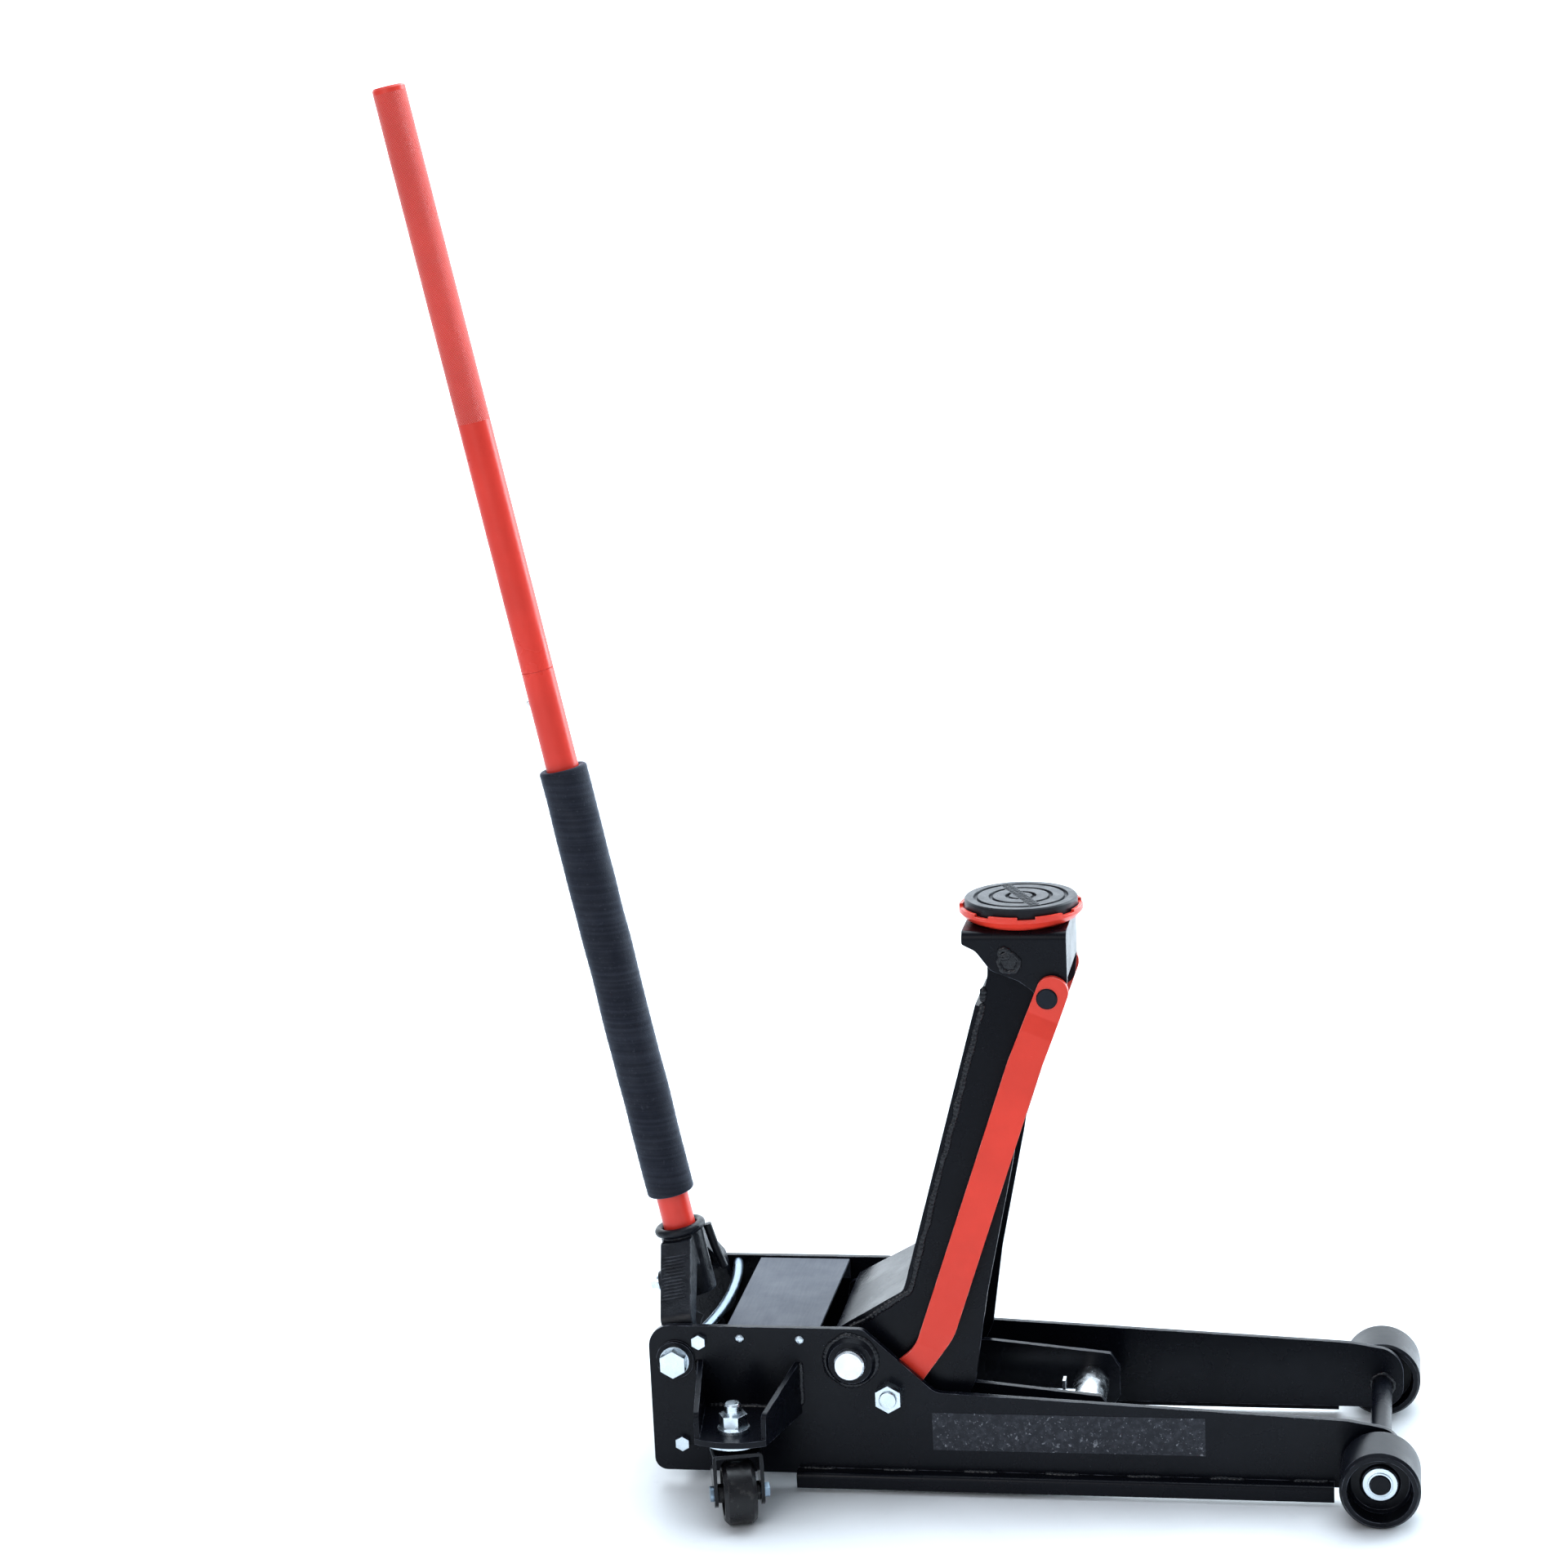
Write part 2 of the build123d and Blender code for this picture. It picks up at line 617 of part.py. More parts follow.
# ---------------------------------------------------------------- hydraulic unit
cylinder_front = axle_x - cylinder_front_back
cylinder_rear = axle_x - cylinder_rear_back
pump_z = yoke_pivot_z - cam_drop
pump_face_x = axle_x - 622
with BuildPart() as hydraulic_block:
    with BuildSketch(Plane.XY.offset(20)):
        with Locations((cylinder_rear - 32, 0)):
            Rectangle(64, 90)
    extrude(amount=60)
    with BuildSketch(Plane.XY.offset(80)):
        with Locations((pump_face_x + 22, 0)):
            Rectangle(44, 90)
    extrude(amount=28)
    fillet(hydraulic_block.edges().filter_by(Axis.Z).group_by(Axis.X)[0], 6)
    with Locations((pump_face_x + 5, 0, 80)):
        Cylinder(5.2, 60, align=(Align.CENTER, Align.CENTER, Align.CENTER), mode=Mode.SUBTRACT)
    for side in (-1, 1):
        pump_centre = (pump_face_x, side * pump_spacing / 2, pump_z)
        shank(pump_centre, (1, 0, 0), 8 + running_clearance, 0, 42, Mode.SUBTRACT)
    # Feet that reach sideways to the lower bolts of the frame
    with Locations((axle_x - 662, 0, 43)):
        Box(34, 2 * plate_inner_y, 22)
save(hydraulic_block, "hydraulic_block")

with BuildPart() as cylinder_tube:
    shank((0, 0, ram_z), (1, 0, 0), cylinder_radius, cylinder_rear, cylinder_front)
    shank((0, 0, ram_z), (1, 0, 0), cylinder_bore_radius, cylinder_rear, cylinder_front, Mode.SUBTRACT)
save(cylinder_tube, "cylinder_tube")

with BuildPart() as reservoir_tube:
    shank((0, 0, ram_z), (1, 0, 0), reservoir_radius, cylinder_rear, cylinder_front)
    shank((0, 0, ram_z), (1, 0, 0), reservoir_radius - 3, cylinder_rear, cylinder_front, Mode.SUBTRACT)
save(reservoir_tube, "reservoir_tube")

with BuildPart() as gland_nut:
    with BuildSketch(Plane(origin=(cylinder_front, 0, ram_z), z_dir=(1, 0, 0))):
        RegularPolygon(radius=29, side_count=8, major_radius=False)
    extrude(amount=10)
    rod_hole_radius = ram_rod_radius + running_clearance
    shank((0, 0, ram_z), (1, 0, 0), rod_hole_radius, cylinder_front, cylinder_front + 10, Mode.SUBTRACT)
save(gland_nut, "gland_nut")

piston_head_x = yoke_x + cam_radius + 0.3
for side, side_name in ((-1, "right"), (1, "left")):
    with BuildPart() as pump_piston:
        pump_centre = (piston_head_x, side * pump_spacing / 2, pump_z)
        shank(pump_centre, (1, 0, 0), 11, 0, 5)
        shank(pump_centre, (1, 0, 0), 8, 5, pump_face_x - piston_head_x + 5)
    save(pump_piston, "pump_piston_" + side_name)

with BuildPart() as release_valve:
    with Locations((pump_face_x - 6, 0, 80.2)):
        Cylinder(4.5, 34, align=(Align.CENTER, Align.CENTER, Align.MIN))
    with Locations((pump_face_x - 6, 0, 108)):
        Box(5, 14, 6, align=(Align.CENTER, Align.CENTER, Align.MIN))
save(release_valve, "release_valve")

# ---------------------------------------------------------------- yoke
yoke_side = Plane(origin=yoke_pivot, x_dir=handle_across, z_dir=(0, -1, 0))
leg_offset = 7
yoke_front = Plane(origin=yoke_pivot + handle_across * leg_offset, x_dir=(0, 1, 0), z_dir=handle_across)
socket_radius = handle_radius + 5.1
eye_radius = 27
eye_outer_y = plate_inner_y - 4
eye_inner_y = eye_outer_y - 12
blind_wall = 3
leg_half_depth = 15.5
bolt_height = 46
boss_reach = socket_radius + 12
with BuildPart() as yoke:
    shank(handle_base, handle_axis, socket_radius, 32, 94)
    leg_outline = [
        (-12, 92),
        (-25, 92),
        (-eye_outer_y, 37),
        (-eye_outer_y, 0),
        (-eye_inner_y, 0),
        (-eye_inner_y, 26),
        (-24, 66),
        (-12, 60),
    ]
    leg_radii = [0, 6, 12, 0, 0, 12, 6, 0]
    extrude(outline_face(yoke_front, leg_outline, leg_radii), amount=leg_half_depth, both=True)
    leg_mirrored = [(-y, height) for y, height in leg_outline]
    extrude(outline_face(yoke_front, leg_mirrored, leg_radii), amount=leg_half_depth, both=True)
    # Web between the legs, and the boss of the retaining bolt
    web_outline = [(-eye_inner_y - 2, 34), (eye_inner_y + 2, 34), (24, 68), (-24, 68)]
    extrude(outline_face(yoke_front, web_outline, [0, 0, 0, 0]), amount=6, both=True)
    shank(handle_base + handle_axis * bolt_height, -handle_across, 10.5, 16, boss_reach)
    for side in (-1, 1):
        shank(yoke_pivot, (0, side, 0), eye_radius, eye_inner_y, eye_outer_y)
        # Lug down to the cam bar
        cam_centre = Vector(yoke_x, 0, yoke_pivot_z - cam_drop)
        shank(cam_centre, (0, side, 0), 13, eye_inner_y, eye_outer_y)
    shank(handle_base, handle_axis, handle_radius + running_clearance, 36, 120, Mode.SUBTRACT)
    # Blind holes for the pivot bolts
    bolt_hole_radius = link_bolt_radius + running_clearance
    for side in (-1, 1):
        outward = (0, side, 0)
        shank(yoke_pivot, outward, bolt_hole_radius, eye_inner_y + blind_wall, eye_outer_y, Mode.SUBTRACT)
    disc(yoke_x, yoke_pivot_z - cam_drop, -eye_outer_y, eye_outer_y, 7, Mode.SUBTRACT)
save(yoke, "yoke")

with BuildPart() as yoke_ring:
    ring_centre = handle_base + handle_axis * 98.6
    with BuildSketch(Plane(origin=ring_centre, x_dir=handle_across, z_dir=(0, -1, 0))):
        with Locations((socket_radius, 0)):
            Circle(4.5)
    revolve(axis=Axis(ring_centre, handle_axis))
save(yoke_ring, "yoke_ring")

with BuildPart() as yoke_rod:
    rod_start = handle_base + handle_axis * 94 + handle_across * 25 + Vector(0, 9, 0)
    rod_bend = handle_base + handle_axis * 70 + handle_across * 27 + Vector(0, 10, 0)
    rod_finish = handle_base + handle_axis * 47 + handle_across * 31 + Vector(0, 10, 0)
    with BuildLine() as rod_path:
        FilletPolyline(rod_start, rod_bend, rod_finish, radius=40)
    with BuildSketch(Plane(origin=rod_path.line @ 0, z_dir=rod_path.line % 0)):
        Circle(4.2)
    sweep()
save(yoke_rod, "yoke_rod")

with BuildPart() as pump_cam:
    disc(yoke_x, yoke_pivot_z - cam_drop, -eye_outer_y, eye_outer_y, 7)
    for side in (-1, 1):
        shank((yoke_x, side * pump_spacing / 2, yoke_pivot_z - cam_drop), (0, side, 0), cam_radius, -8, 8)
save(pump_cam, "pump_cam")

with BuildPart() as yoke_bolts:
    for side in (-1, 1):
        washer_y = plate_outer_y + pivot_boss_height
        bolt_start = eye_inner_y + blind_wall + 0.3
        shank((yoke_x, 0, yoke_pivot_z), (0, side, 0), link_bolt_radius, bolt_start, washer_y)
        shank((yoke_x, 0, yoke_pivot_z), (0, side, 0), 14.5, washer_y, washer_y + 3)
        hex_head((yoke_x, side * (washer_y + 3), yoke_pivot_z), (0, side, 0), 24, 10)
save(yoke_bolts, "yoke_bolts")

with BuildPart() as handle_bolt:
    bolt_seat = handle_base + handle_axis * bolt_height - handle_across * boss_reach
    backward = -handle_across
    shank(bolt_seat, backward, 9, 0, 2)
    hex_head(bolt_seat + backward * 2, backward, 13, 7)
save(handle_bolt, "handle_bolt")

# ---------------------------------------------------------------- handle
button_height = 642
with BuildPart() as handle_lower_tube:
    shank(handle_base, handle_axis, handle_radius, handle_bottom, handle_joint)
    shank(handle_base, handle_axis, handle_radius - 2.5, handle_bottom, handle_joint, Mode.SUBTRACT)
    shank(handle_base + handle_axis * button_height, -handle_across, 3.6, 0, 25, Mode.SUBTRACT)
save(handle_lower_tube, "handle_lower_tube")

with BuildPart() as handle_upper_tube:
    upper_profile = [
        (11, handle_joint - 80),
        (handle_radius - 2.6, handle_joint - 80),
        (handle_radius - 2.6, handle_joint),
        (handle_radius - 0.6, handle_joint),
        (handle_radius, handle_joint + 0.8),
        (handle_radius, handle_top - 2),
        (handle_radius - 1.6, handle_top),
        (0, handle_top),
        (0, handle_top - 3),
        (11, handle_top - 3),
    ]
    turned(handle_base, handle_axis, handle_across, upper_profile)
    shank(handle_base + handle_axis * button_height, -handle_across, 3.6, 0, 25, Mode.SUBTRACT)
save(handle_upper_tube, "handle_upper_tube")

with BuildPart() as foam_sleeve:
    sleeve_profile = [
        (handle_radius, sleeve_bottom),
        (sleeve_radius - 2, sleeve_bottom),
        (sleeve_radius, sleeve_bottom + 3),
        (sleeve_radius, sleeve_top - 3),
        (sleeve_radius - 2, sleeve_top),
        (handle_radius, sleeve_top),
    ]
    turned(handle_base, handle_axis, handle_across, sleeve_profile)
save(foam_sleeve, "foam_sleeve")

with BuildPart() as lock_button:
    button_centre = handle_base + handle_axis * button_height
    shank(button_centre, -handle_across, 3.5, 4, 18.2)
    fillet(lock_button.edges().sort_by(Axis(button_centre, -handle_across))[-1], 1.5)
save(lock_button, "lock_button")

# ---------------------------------------------------------------- casters
shelf_top_z = caster_shelf_z + shelf_thickness
bracket_outer_y = -plate_outer_y - 81
front_foot_x = axle_x - 550
rear_foot_x = axle_x - 650
front_tip_x = axle_x - 571
rear_tip_x = axle_x - 640
with BuildPart() as caster_bracket_right:
    with BuildSketch(Plane.XY.offset(caster_shelf_z)):
        with BuildLine():
            Line((rear_foot_x, -plate_outer_y), (rear_tip_x, bracket_outer_y))
            ThreePointArc(
                (rear_tip_x, bracket_outer_y),
                (stem_x, bracket_outer_y - 9),
                (front_tip_x, bracket_outer_y),
            )
            Line((front_tip_x, bracket_outer_y), (front_foot_x, -plate_outer_y))
            Line((front_foot_x, -plate_outer_y), (rear_foot_x, -plate_outer_y))
        make_face()
    extrude(amount=shelf_thickness)
    for foot_x, tip_x, inward in (
        (front_foot_x, front_tip_x, 5),
        (rear_foot_x, rear_tip_x, -5),
    ):
        run = Vector(tip_x - foot_x, bracket_outer_y + plate_outer_y, 0)
        wall_plane = Plane(origin=(foot_x, -plate_outer_y, 0), x_dir=run, z_dir=run.cross(Vector(0, 0, 1)))
        wall_outline = [(-4, caster_shelf_z), (-4, 130), (run.length - 2, 106), (run.length, caster_shelf_z)]
        extrude(outline_face(wall_plane, wall_outline, [0, 0, 6, 0]), amount=inward)
    with Locations((stem_x, -plate_outer_y, 0)):
        Box(200, 20, 300, align=(Align.CENTER, Align.MIN, Align.MIN), mode=Mode.SUBTRACT)
    with Locations((stem_x, -caster_stem_y, shelf_top_z)):
        Cylinder(8, 40, mode=Mode.SUBTRACT)
save(caster_bracket_right, "caster_bracket_right")

with BuildPart() as caster_bracket_left:
    mirror(caster_bracket_right.part, about=Plane.XZ)
save(caster_bracket_left, "caster_bracket_left")

with BuildPart() as caster_stem_right:
    stem_profile = [
        (0, 62.2),
        (12, 62.2),
        (12, 65.8),
        (8, 65.8),
        (8, 72.8),
        (29, 72.8),
        (29, caster_shelf_z),
        (8, caster_shelf_z),
        (8, shelf_top_z + 26),
        (6.5, shelf_top_z + 28),
        (0, shelf_top_z + 28),
    ]
    turned((stem_x, -caster_stem_y, 0), (0, 0, 1), (1, 0, 0), stem_profile)
save(caster_stem_right, "caster_stem_right")

with BuildPart() as caster_stem_left:
    mirror(caster_stem_right.part, about=Plane.XZ)
save(caster_stem_left, "caster_stem_left")

with BuildPart() as caster_nuts:
    for side in (-1, 1):
        nut_seat = (stem_x, side * caster_stem_y, shelf_top_z)
        hex_head(nut_seat, (0, 0, 1), 24, 17)
        shank(nut_seat, (0, 0, 1), 15.5, 0, 4)
        shank(nut_seat, (0, 0, 1), 8, 0, 20, Mode.SUBTRACT)
save(caster_nuts, "caster_nuts")

fork_inner_x = 20.5
fork_outer_x = 24
fork_top_z = 69.5
with BuildPart() as fork_shape:
    leg_side = [(24, fork_top_z), (-30, fork_top_z), (-38, 24), (-25, 14.5), (-12, 24), (22, 57)]
    for x in (-fork_outer_x, fork_inner_x):
        leg_plane = Plane(origin=(x, 0, 0), x_dir=(0, 1, 0), z_dir=(1, 0, 0))
        extrude(outline_face(leg_plane, leg_side, [0, 0, 10, 8, 10, 6]), amount=fork_outer_x - fork_inner_x)
    with BuildSketch(Plane.XY.offset(66)):
        with Locations((0, -3)):
            Rectangle(2 * fork_outer_x, 54)
    extrude(amount=fork_top_z - 66)
    fillet(fork_shape.edges().filter_by(Axis.Y).group_by(Axis.Z)[-1], 3)
    with Locations((0, 0, fork_top_z)):
        Cylinder(17, 3, align=(Align.CENTER, Align.CENTER, Align.MIN))
        Cylinder(8 + running_clearance, 20, mode=Mode.SUBTRACT)
    shank((0, -caster_trail, caster_wheel_radius), (1, 0, 0), 5, -30, 30, Mode.SUBTRACT)

with BuildPart() as bolt_shape:
    axle_start = (0, -caster_trail, caster_wheel_radius)
    shank(axle_start, (1, 0, 0), 5, -fork_outer_x, fork_outer_x + 5.5)
    shank(axle_start, (1, 0, 0), 7.5, -fork_outer_x - 3.5, -fork_outer_x)
    hex_head((fork_outer_x, -caster_trail, caster_wheel_radius), (1, 0, 0), 13, 5)

with BuildPart() as wheel_shape:
    half_tread = caster_wheel_width / 2
    tread_profile = [
        (5 + running_clearance, -20.1),
        (9, -20.1),
        (9, -9),
        (21, -9),
        (22, -half_tread),
        (26, -half_tread),
        (caster_wheel_radius, -half_tread + 4),
        (caster_wheel_radius, half_tread - 4),
        (26, half_tread),
        (22, half_tread),
        (21, 9),
        (9, 9),
        (9, 20.1),
        (5 + running_clearance, 20.1),
    ]
    turned((0, -caster_trail, caster_wheel_radius), (1, 0, 0), (0, 0, 1), tread_profile)

caster_place = Location((stem_x, -caster_stem_y, 0), (0, 0, caster_turn))
for shape, name in (
    (fork_shape, "caster_fork"),
    (bolt_shape, "caster_bolt"),
    (wheel_shape, "caster_wheel"),
):
    with BuildPart() as caster_piece_right:
        with Locations(caster_place):
            add(shape.part)
    save(caster_piece_right, name + "_right")
    with BuildPart() as caster_piece_left:
        mirror(caster_piece_right.part, about=Plane.XZ)
    save(caster_piece_left, name + "_left")
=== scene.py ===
"""Hydraulic trolley jack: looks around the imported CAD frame. Metres, +X forward, +Z up."""

import json
import math

import bpy
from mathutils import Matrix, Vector, noise


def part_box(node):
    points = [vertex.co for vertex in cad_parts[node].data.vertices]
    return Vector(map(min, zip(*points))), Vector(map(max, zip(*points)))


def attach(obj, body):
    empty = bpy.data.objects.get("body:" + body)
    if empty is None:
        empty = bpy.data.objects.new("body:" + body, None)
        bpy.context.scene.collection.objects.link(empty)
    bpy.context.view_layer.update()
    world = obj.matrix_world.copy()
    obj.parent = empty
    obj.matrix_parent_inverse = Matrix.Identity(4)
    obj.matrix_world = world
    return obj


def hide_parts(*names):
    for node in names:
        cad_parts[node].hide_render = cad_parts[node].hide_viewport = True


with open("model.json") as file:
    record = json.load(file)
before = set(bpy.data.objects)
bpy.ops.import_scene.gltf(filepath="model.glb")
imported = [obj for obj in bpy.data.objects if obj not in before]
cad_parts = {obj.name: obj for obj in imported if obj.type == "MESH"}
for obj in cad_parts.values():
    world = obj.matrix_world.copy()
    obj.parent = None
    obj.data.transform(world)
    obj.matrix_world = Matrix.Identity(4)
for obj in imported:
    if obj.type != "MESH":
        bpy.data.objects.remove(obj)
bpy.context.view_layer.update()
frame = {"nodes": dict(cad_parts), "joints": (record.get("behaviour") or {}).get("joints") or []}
scene = bpy.context.scene

# ---------------------------------------------------------------- places taken from the CAD


def centre(node):
    low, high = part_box(node)
    return (low + high) / 2


def flat(point, y=0.0):
    return Vector((point.x, y, point.z))


lift = flat(centre("lift_shaft"))
link_foot = flat(centre("link_bolts"))
head = flat(centre("head_pins"))
axle = flat(centre("front_axle"))
arm_along = (head - lift).normalized()
arm_back = Vector((-arm_along.z, 0, arm_along.x))
joint_axis = {joint["name"]: Vector(joint["axis"]) for joint in frame["joints"]}
handle_along = joint_axis["handle_twist"].normalized()
handle_across = Vector((handle_along.z, 0, -handle_along.x))
sleeve_middle_height = 0.355
handle_base = flat(centre("foam_sleeve")) - handle_along * sleeve_middle_height
plate_y = 0.101
plate_inner_y = 0.095
arm_half_low = 0.078
arm_taper = 0.038 / 0.4145


def arm_point(along, back, proud=0.0, side=-1):
    """Point on the arm's side, from distances up the arm and to its rear."""
    half = arm_half_low - arm_taper * along + proud
    point = lift + arm_along * along + arm_back * back
    return Vector((point.x, side * half, point.z))


def handle_point(along, across=0.0, y=0.0):
    return handle_base + handle_along * along + handle_across * across + Vector((0, y, 0))


# ---------------------------------------------------------------- camera
camera_turn = [math.radians(degrees) for degrees in (77.416, 2.681, 9.879)]
camera_place = Vector((axle.x + 0.03872, -3.22179, 1.40647))
camera_data = bpy.data.cameras.new("camera")
camera_data.sensor_width = 36
camera_data.lens = 80.6
camera_data.clip_end = 60
camera = bpy.data.objects.new("camera", camera_data)
scene.collection.objects.link(camera)
camera.location = camera_place
camera.rotation_euler = camera_turn
scene.camera = camera

# ---------------------------------------------------------------- materials


class Finish:
    """A Principled material with helpers to add procedural detail."""

    def __init__(self, name, colour, roughness, metallic=0.0, specular=0.5):
        self.material = bpy.data.materials.new(name)
        self.material.use_nodes = True
        self.tree = self.material.node_tree
        self.shader = self.tree.nodes["Principled BSDF"]
        self.shader.inputs["Base Color"].default_value = (*colour, 1)
        self.shader.inputs["Roughness"].default_value = roughness
        self.shader.inputs["Metallic"].default_value = metallic
        self.shader.inputs["Specular IOR Level"].default_value = specular
        self.place = self.node("ShaderNodeTexCoord").outputs["Object"]
        self.normal = None

    def node(self, kind, **settings):
        made = self.tree.nodes.new(kind)
        for key, value in settings.items():
            setattr(made, key, value)
        return made

    def link(self, start, end):
        self.tree.links.new(start, end)

    def set(self, **values):
        for key, value in values.items():
            self.shader.inputs[key.replace("_", " ")].default_value = value
        return self

    def mapped(self, scale, rotation=(0, 0, 0)):
        mapping = self.node("ShaderNodeMapping")
        mapping.inputs["Scale"].default_value = scale
        mapping.inputs["Rotation"].default_value = rotation
        self.link(self.place, mapping.inputs["Vector"])
        return mapping.outputs["Vector"]

    def noise(self, scale, detail=4.0, rough=0.55, vector=None):
        made = self.node("ShaderNodeTexNoise")
        made.inputs["Scale"].default_value = scale
        made.inputs["Detail"].default_value = detail
        made.inputs["Roughness"].default_value = rough
        self.link(vector or self.place, made.inputs["Vector"])
        return made.outputs["Fac"]

    def ramp(self, factor, low, high, out_low=0.0, out_high=1.0):
        made = self.node("ShaderNodeMapRange")
        sockets = ("From Min", "From Max", "To Min", "To Max")
        for socket, value in zip(sockets, (low, high, out_low, out_high)):
            made.inputs[socket].default_value = value
        self.link(factor, made.inputs["Value"])
        return made.outputs["Result"]

    def maths(self, operation, first, second=None):
        made = self.node("ShaderNodeMath", operation=operation)
        for index, value in enumerate((first, second)):
            if value is None:
                continue
            if isinstance(value, (int, float)):
                made.inputs[index].default_value = value
            else:
                self.link(value, made.inputs[index])
        return made.outputs["Value"]

    def tint(self, factor, colour):
        """Mixes the base colour towards another one by a factor."""
        made = self.node("ShaderNodeMix", data_type="RGBA")
        base = self.shader.inputs["Base Color"]
        if base.is_linked:
            self.link(base.links[0].from_socket, made.inputs["A"])
        else:
            made.inputs["A"].default_value = base.default_value
        made.inputs["B"].default_value = (*colour, 1)
        self.link(factor, made.inputs["Factor"])
        self.link(made.outputs["Result"], base)
        return self

    def vary_roughness(self, factor, low, high):
        self.link(self.ramp(factor, 0.3, 0.7, low, high), self.shader.inputs["Roughness"])
        return self

    def rounded(self, radius):
        """Softens hard edges in the shading, and gives a mask of those edges."""
        bevel = self.node("ShaderNodeBevel", samples=6)
        bevel.inputs["Radius"].default_value = radius
        self.normal = bevel.outputs["Normal"]
        self.link(self.normal, self.shader.inputs["Normal"])
        true_normal = self.node("ShaderNodeNewGeometry").outputs["Normal"]
        dot = self.node("ShaderNodeVectorMath", operation="DOT_PRODUCT")
        self.link(self.normal, dot.inputs[0])
        self.link(true_normal, dot.inputs[1])
        return self.ramp(dot.outputs["Value"], 0.995, 0.9)

    def bump(self, height, strength, distance):
        made = self.node("ShaderNodeBump")
        made.inputs["Strength"].default_value = strength
        made.inputs["Distance"].default_value = distance
        self.link(height, made.inputs["Height"])
        if self.normal is not None:
            self.link(self.normal, made.inputs["Normal"])
        self.normal = made.outputs["Normal"]
        self.link(self.normal, self.shader.inputs["Normal"])
        return self


def powder_coat(name, colour, edge_wear_and_highlight, roughness, edge=0.0008, grain=0.35, specular=0.5):
    finish = Finish(name, colour, roughness, specular=specular)
    edges = finish.rounded(edge)
    # Edges are lightened where noise allows: partly rubbed paint, partly a painted highlight along the
    # edges.
    broken = finish.ramp(finish.noise(60, 6), 0.42, 0.62)
    finish.tint(finish.maths("MULTIPLY", edges, broken), edge_wear_and_highlight)
    cloud = finish.noise(9, 5)
    finish.tint(finish.ramp(cloud, 0.45, 0.75, 0.0, 0.5), tuple(c * 1.4 + 0.002 for c in colour))
    specks = finish.ramp(finish.noise(520, 2), 0.73, 0.78, 0.0, 0.5)
    finish.tint(specks, tuple(min(1, c + 0.07) for c in colour))
    finish.vary_roughness(finish.noise(24, 6), roughness - 0.05, roughness + 0.09)
    finish.bump(finish.noise(1400, 2), grain, 0.0002)
    finish.bump(finish.noise(160, 2), 0.12, 0.0004)
    return finish


def plated(name, colour, roughness, edge=0.0006):
    finish = Finish(name, colour, roughness, metallic=1.0)
    finish.rounded(edge)
    finish.tint(finish.ramp(finish.noise(70, 5), 0.4, 0.7, 0.0, 0.45), tuple(c * 0.72 for c in colour))
    finish.vary_roughness(finish.noise(110, 5), roughness - 0.06, roughness + 0.12)
    finish.bump(finish.noise(700, 3), 0.15, 0.0002)
    return finish


black = powder_coat("black_powder_coat", (0.0045, 0.0055, 0.0095), (0.3, 0.32, 0.38), 0.24, specular=0.24)
satin_black = powder_coat(
    "satin_black_paint", (0.0045, 0.0055, 0.0095), (0.25, 0.27, 0.32), 0.28, 0.0012, specular=0.26
)
fork_black = powder_coat(
    "gloss_black_fork", (0.004, 0.0045, 0.007), (0.3, 0.32, 0.36), 0.12, 0.0006, 0.08, specular=0.4
)
red = powder_coat("red_powder_coat", (0.78, 0.06, 0.035), (0.95, 0.45, 0.4), 0.32, 0.0009, 0.2)
handle_red = powder_coat("red_handle_paint", (0.72, 0.055, 0.036), (0.85, 0.4, 0.36), 0.3, 0.0005, 0.2)
zinc = plated("bright_zinc", (0.74, 0.82, 0.88), 0.26)
dark_steel = plated("oiled_steel", (0.035, 0.038, 0.046), 0.42)
blue_steel = plated("blued_rod", (0.3, 0.38, 0.46), 0.3)

# Ground steel with fine turning lines along Y
steel = plated("ground_steel", (0.8, 0.84, 0.88), 0.2)
lines = steel.noise(60, 3, vector=steel.mapped((1, 60, 1)))
steel.bump(lines, 0.1, 0.0002)

# Grey cover film with a faint brushed direction
cover_grey = Finish("grey_cover_film", (0.062, 0.07, 0.09), 0.5, specular=0.3)
cover_grey.rounded(0.0015)
streaks = cover_grey.noise(30, 5, vector=cover_grey.mapped((14, 1, 1)))
cover_grey.tint(cover_grey.ramp(streaks, 0.35, 0.7, 0.0, 0.6), (0.085, 0.094, 0.118))
cover_grey.tint(cover_grey.ramp(cover_grey.noise(300, 3), 0.68, 0.78, 0.0, 0.5), (0.04, 0.045, 0.055))
cover_grey.vary_roughness(cover_grey.noise(40, 5), 0.42, 0.56)
cover_grey.bump(cover_grey.noise(900, 2), 0.12, 0.0002)

# Rubber pad: dusty top, moulded skin
pad_rubber = Finish("pad_rubber", (0.007, 0.008, 0.012), 0.36, specular=0.35)
pad_rubber.set(Sheen_Weight=0.08, Sheen_Roughness=0.4, Sheen_Tint=(0.8, 0.87, 1.0, 1.0))
pad_rubber.rounded(0.0009)
pad_rubber.tint(pad_rubber.ramp(pad_rubber.noise(45, 6), 0.4, 0.75, 0.0, 0.55), (0.02, 0.023, 0.031))
pad_rubber.vary_roughness(pad_rubber.noise(80, 5), 0.26, 0.46)
pad_rubber.bump(pad_rubber.noise(1100, 3), 0.3, 0.0003)

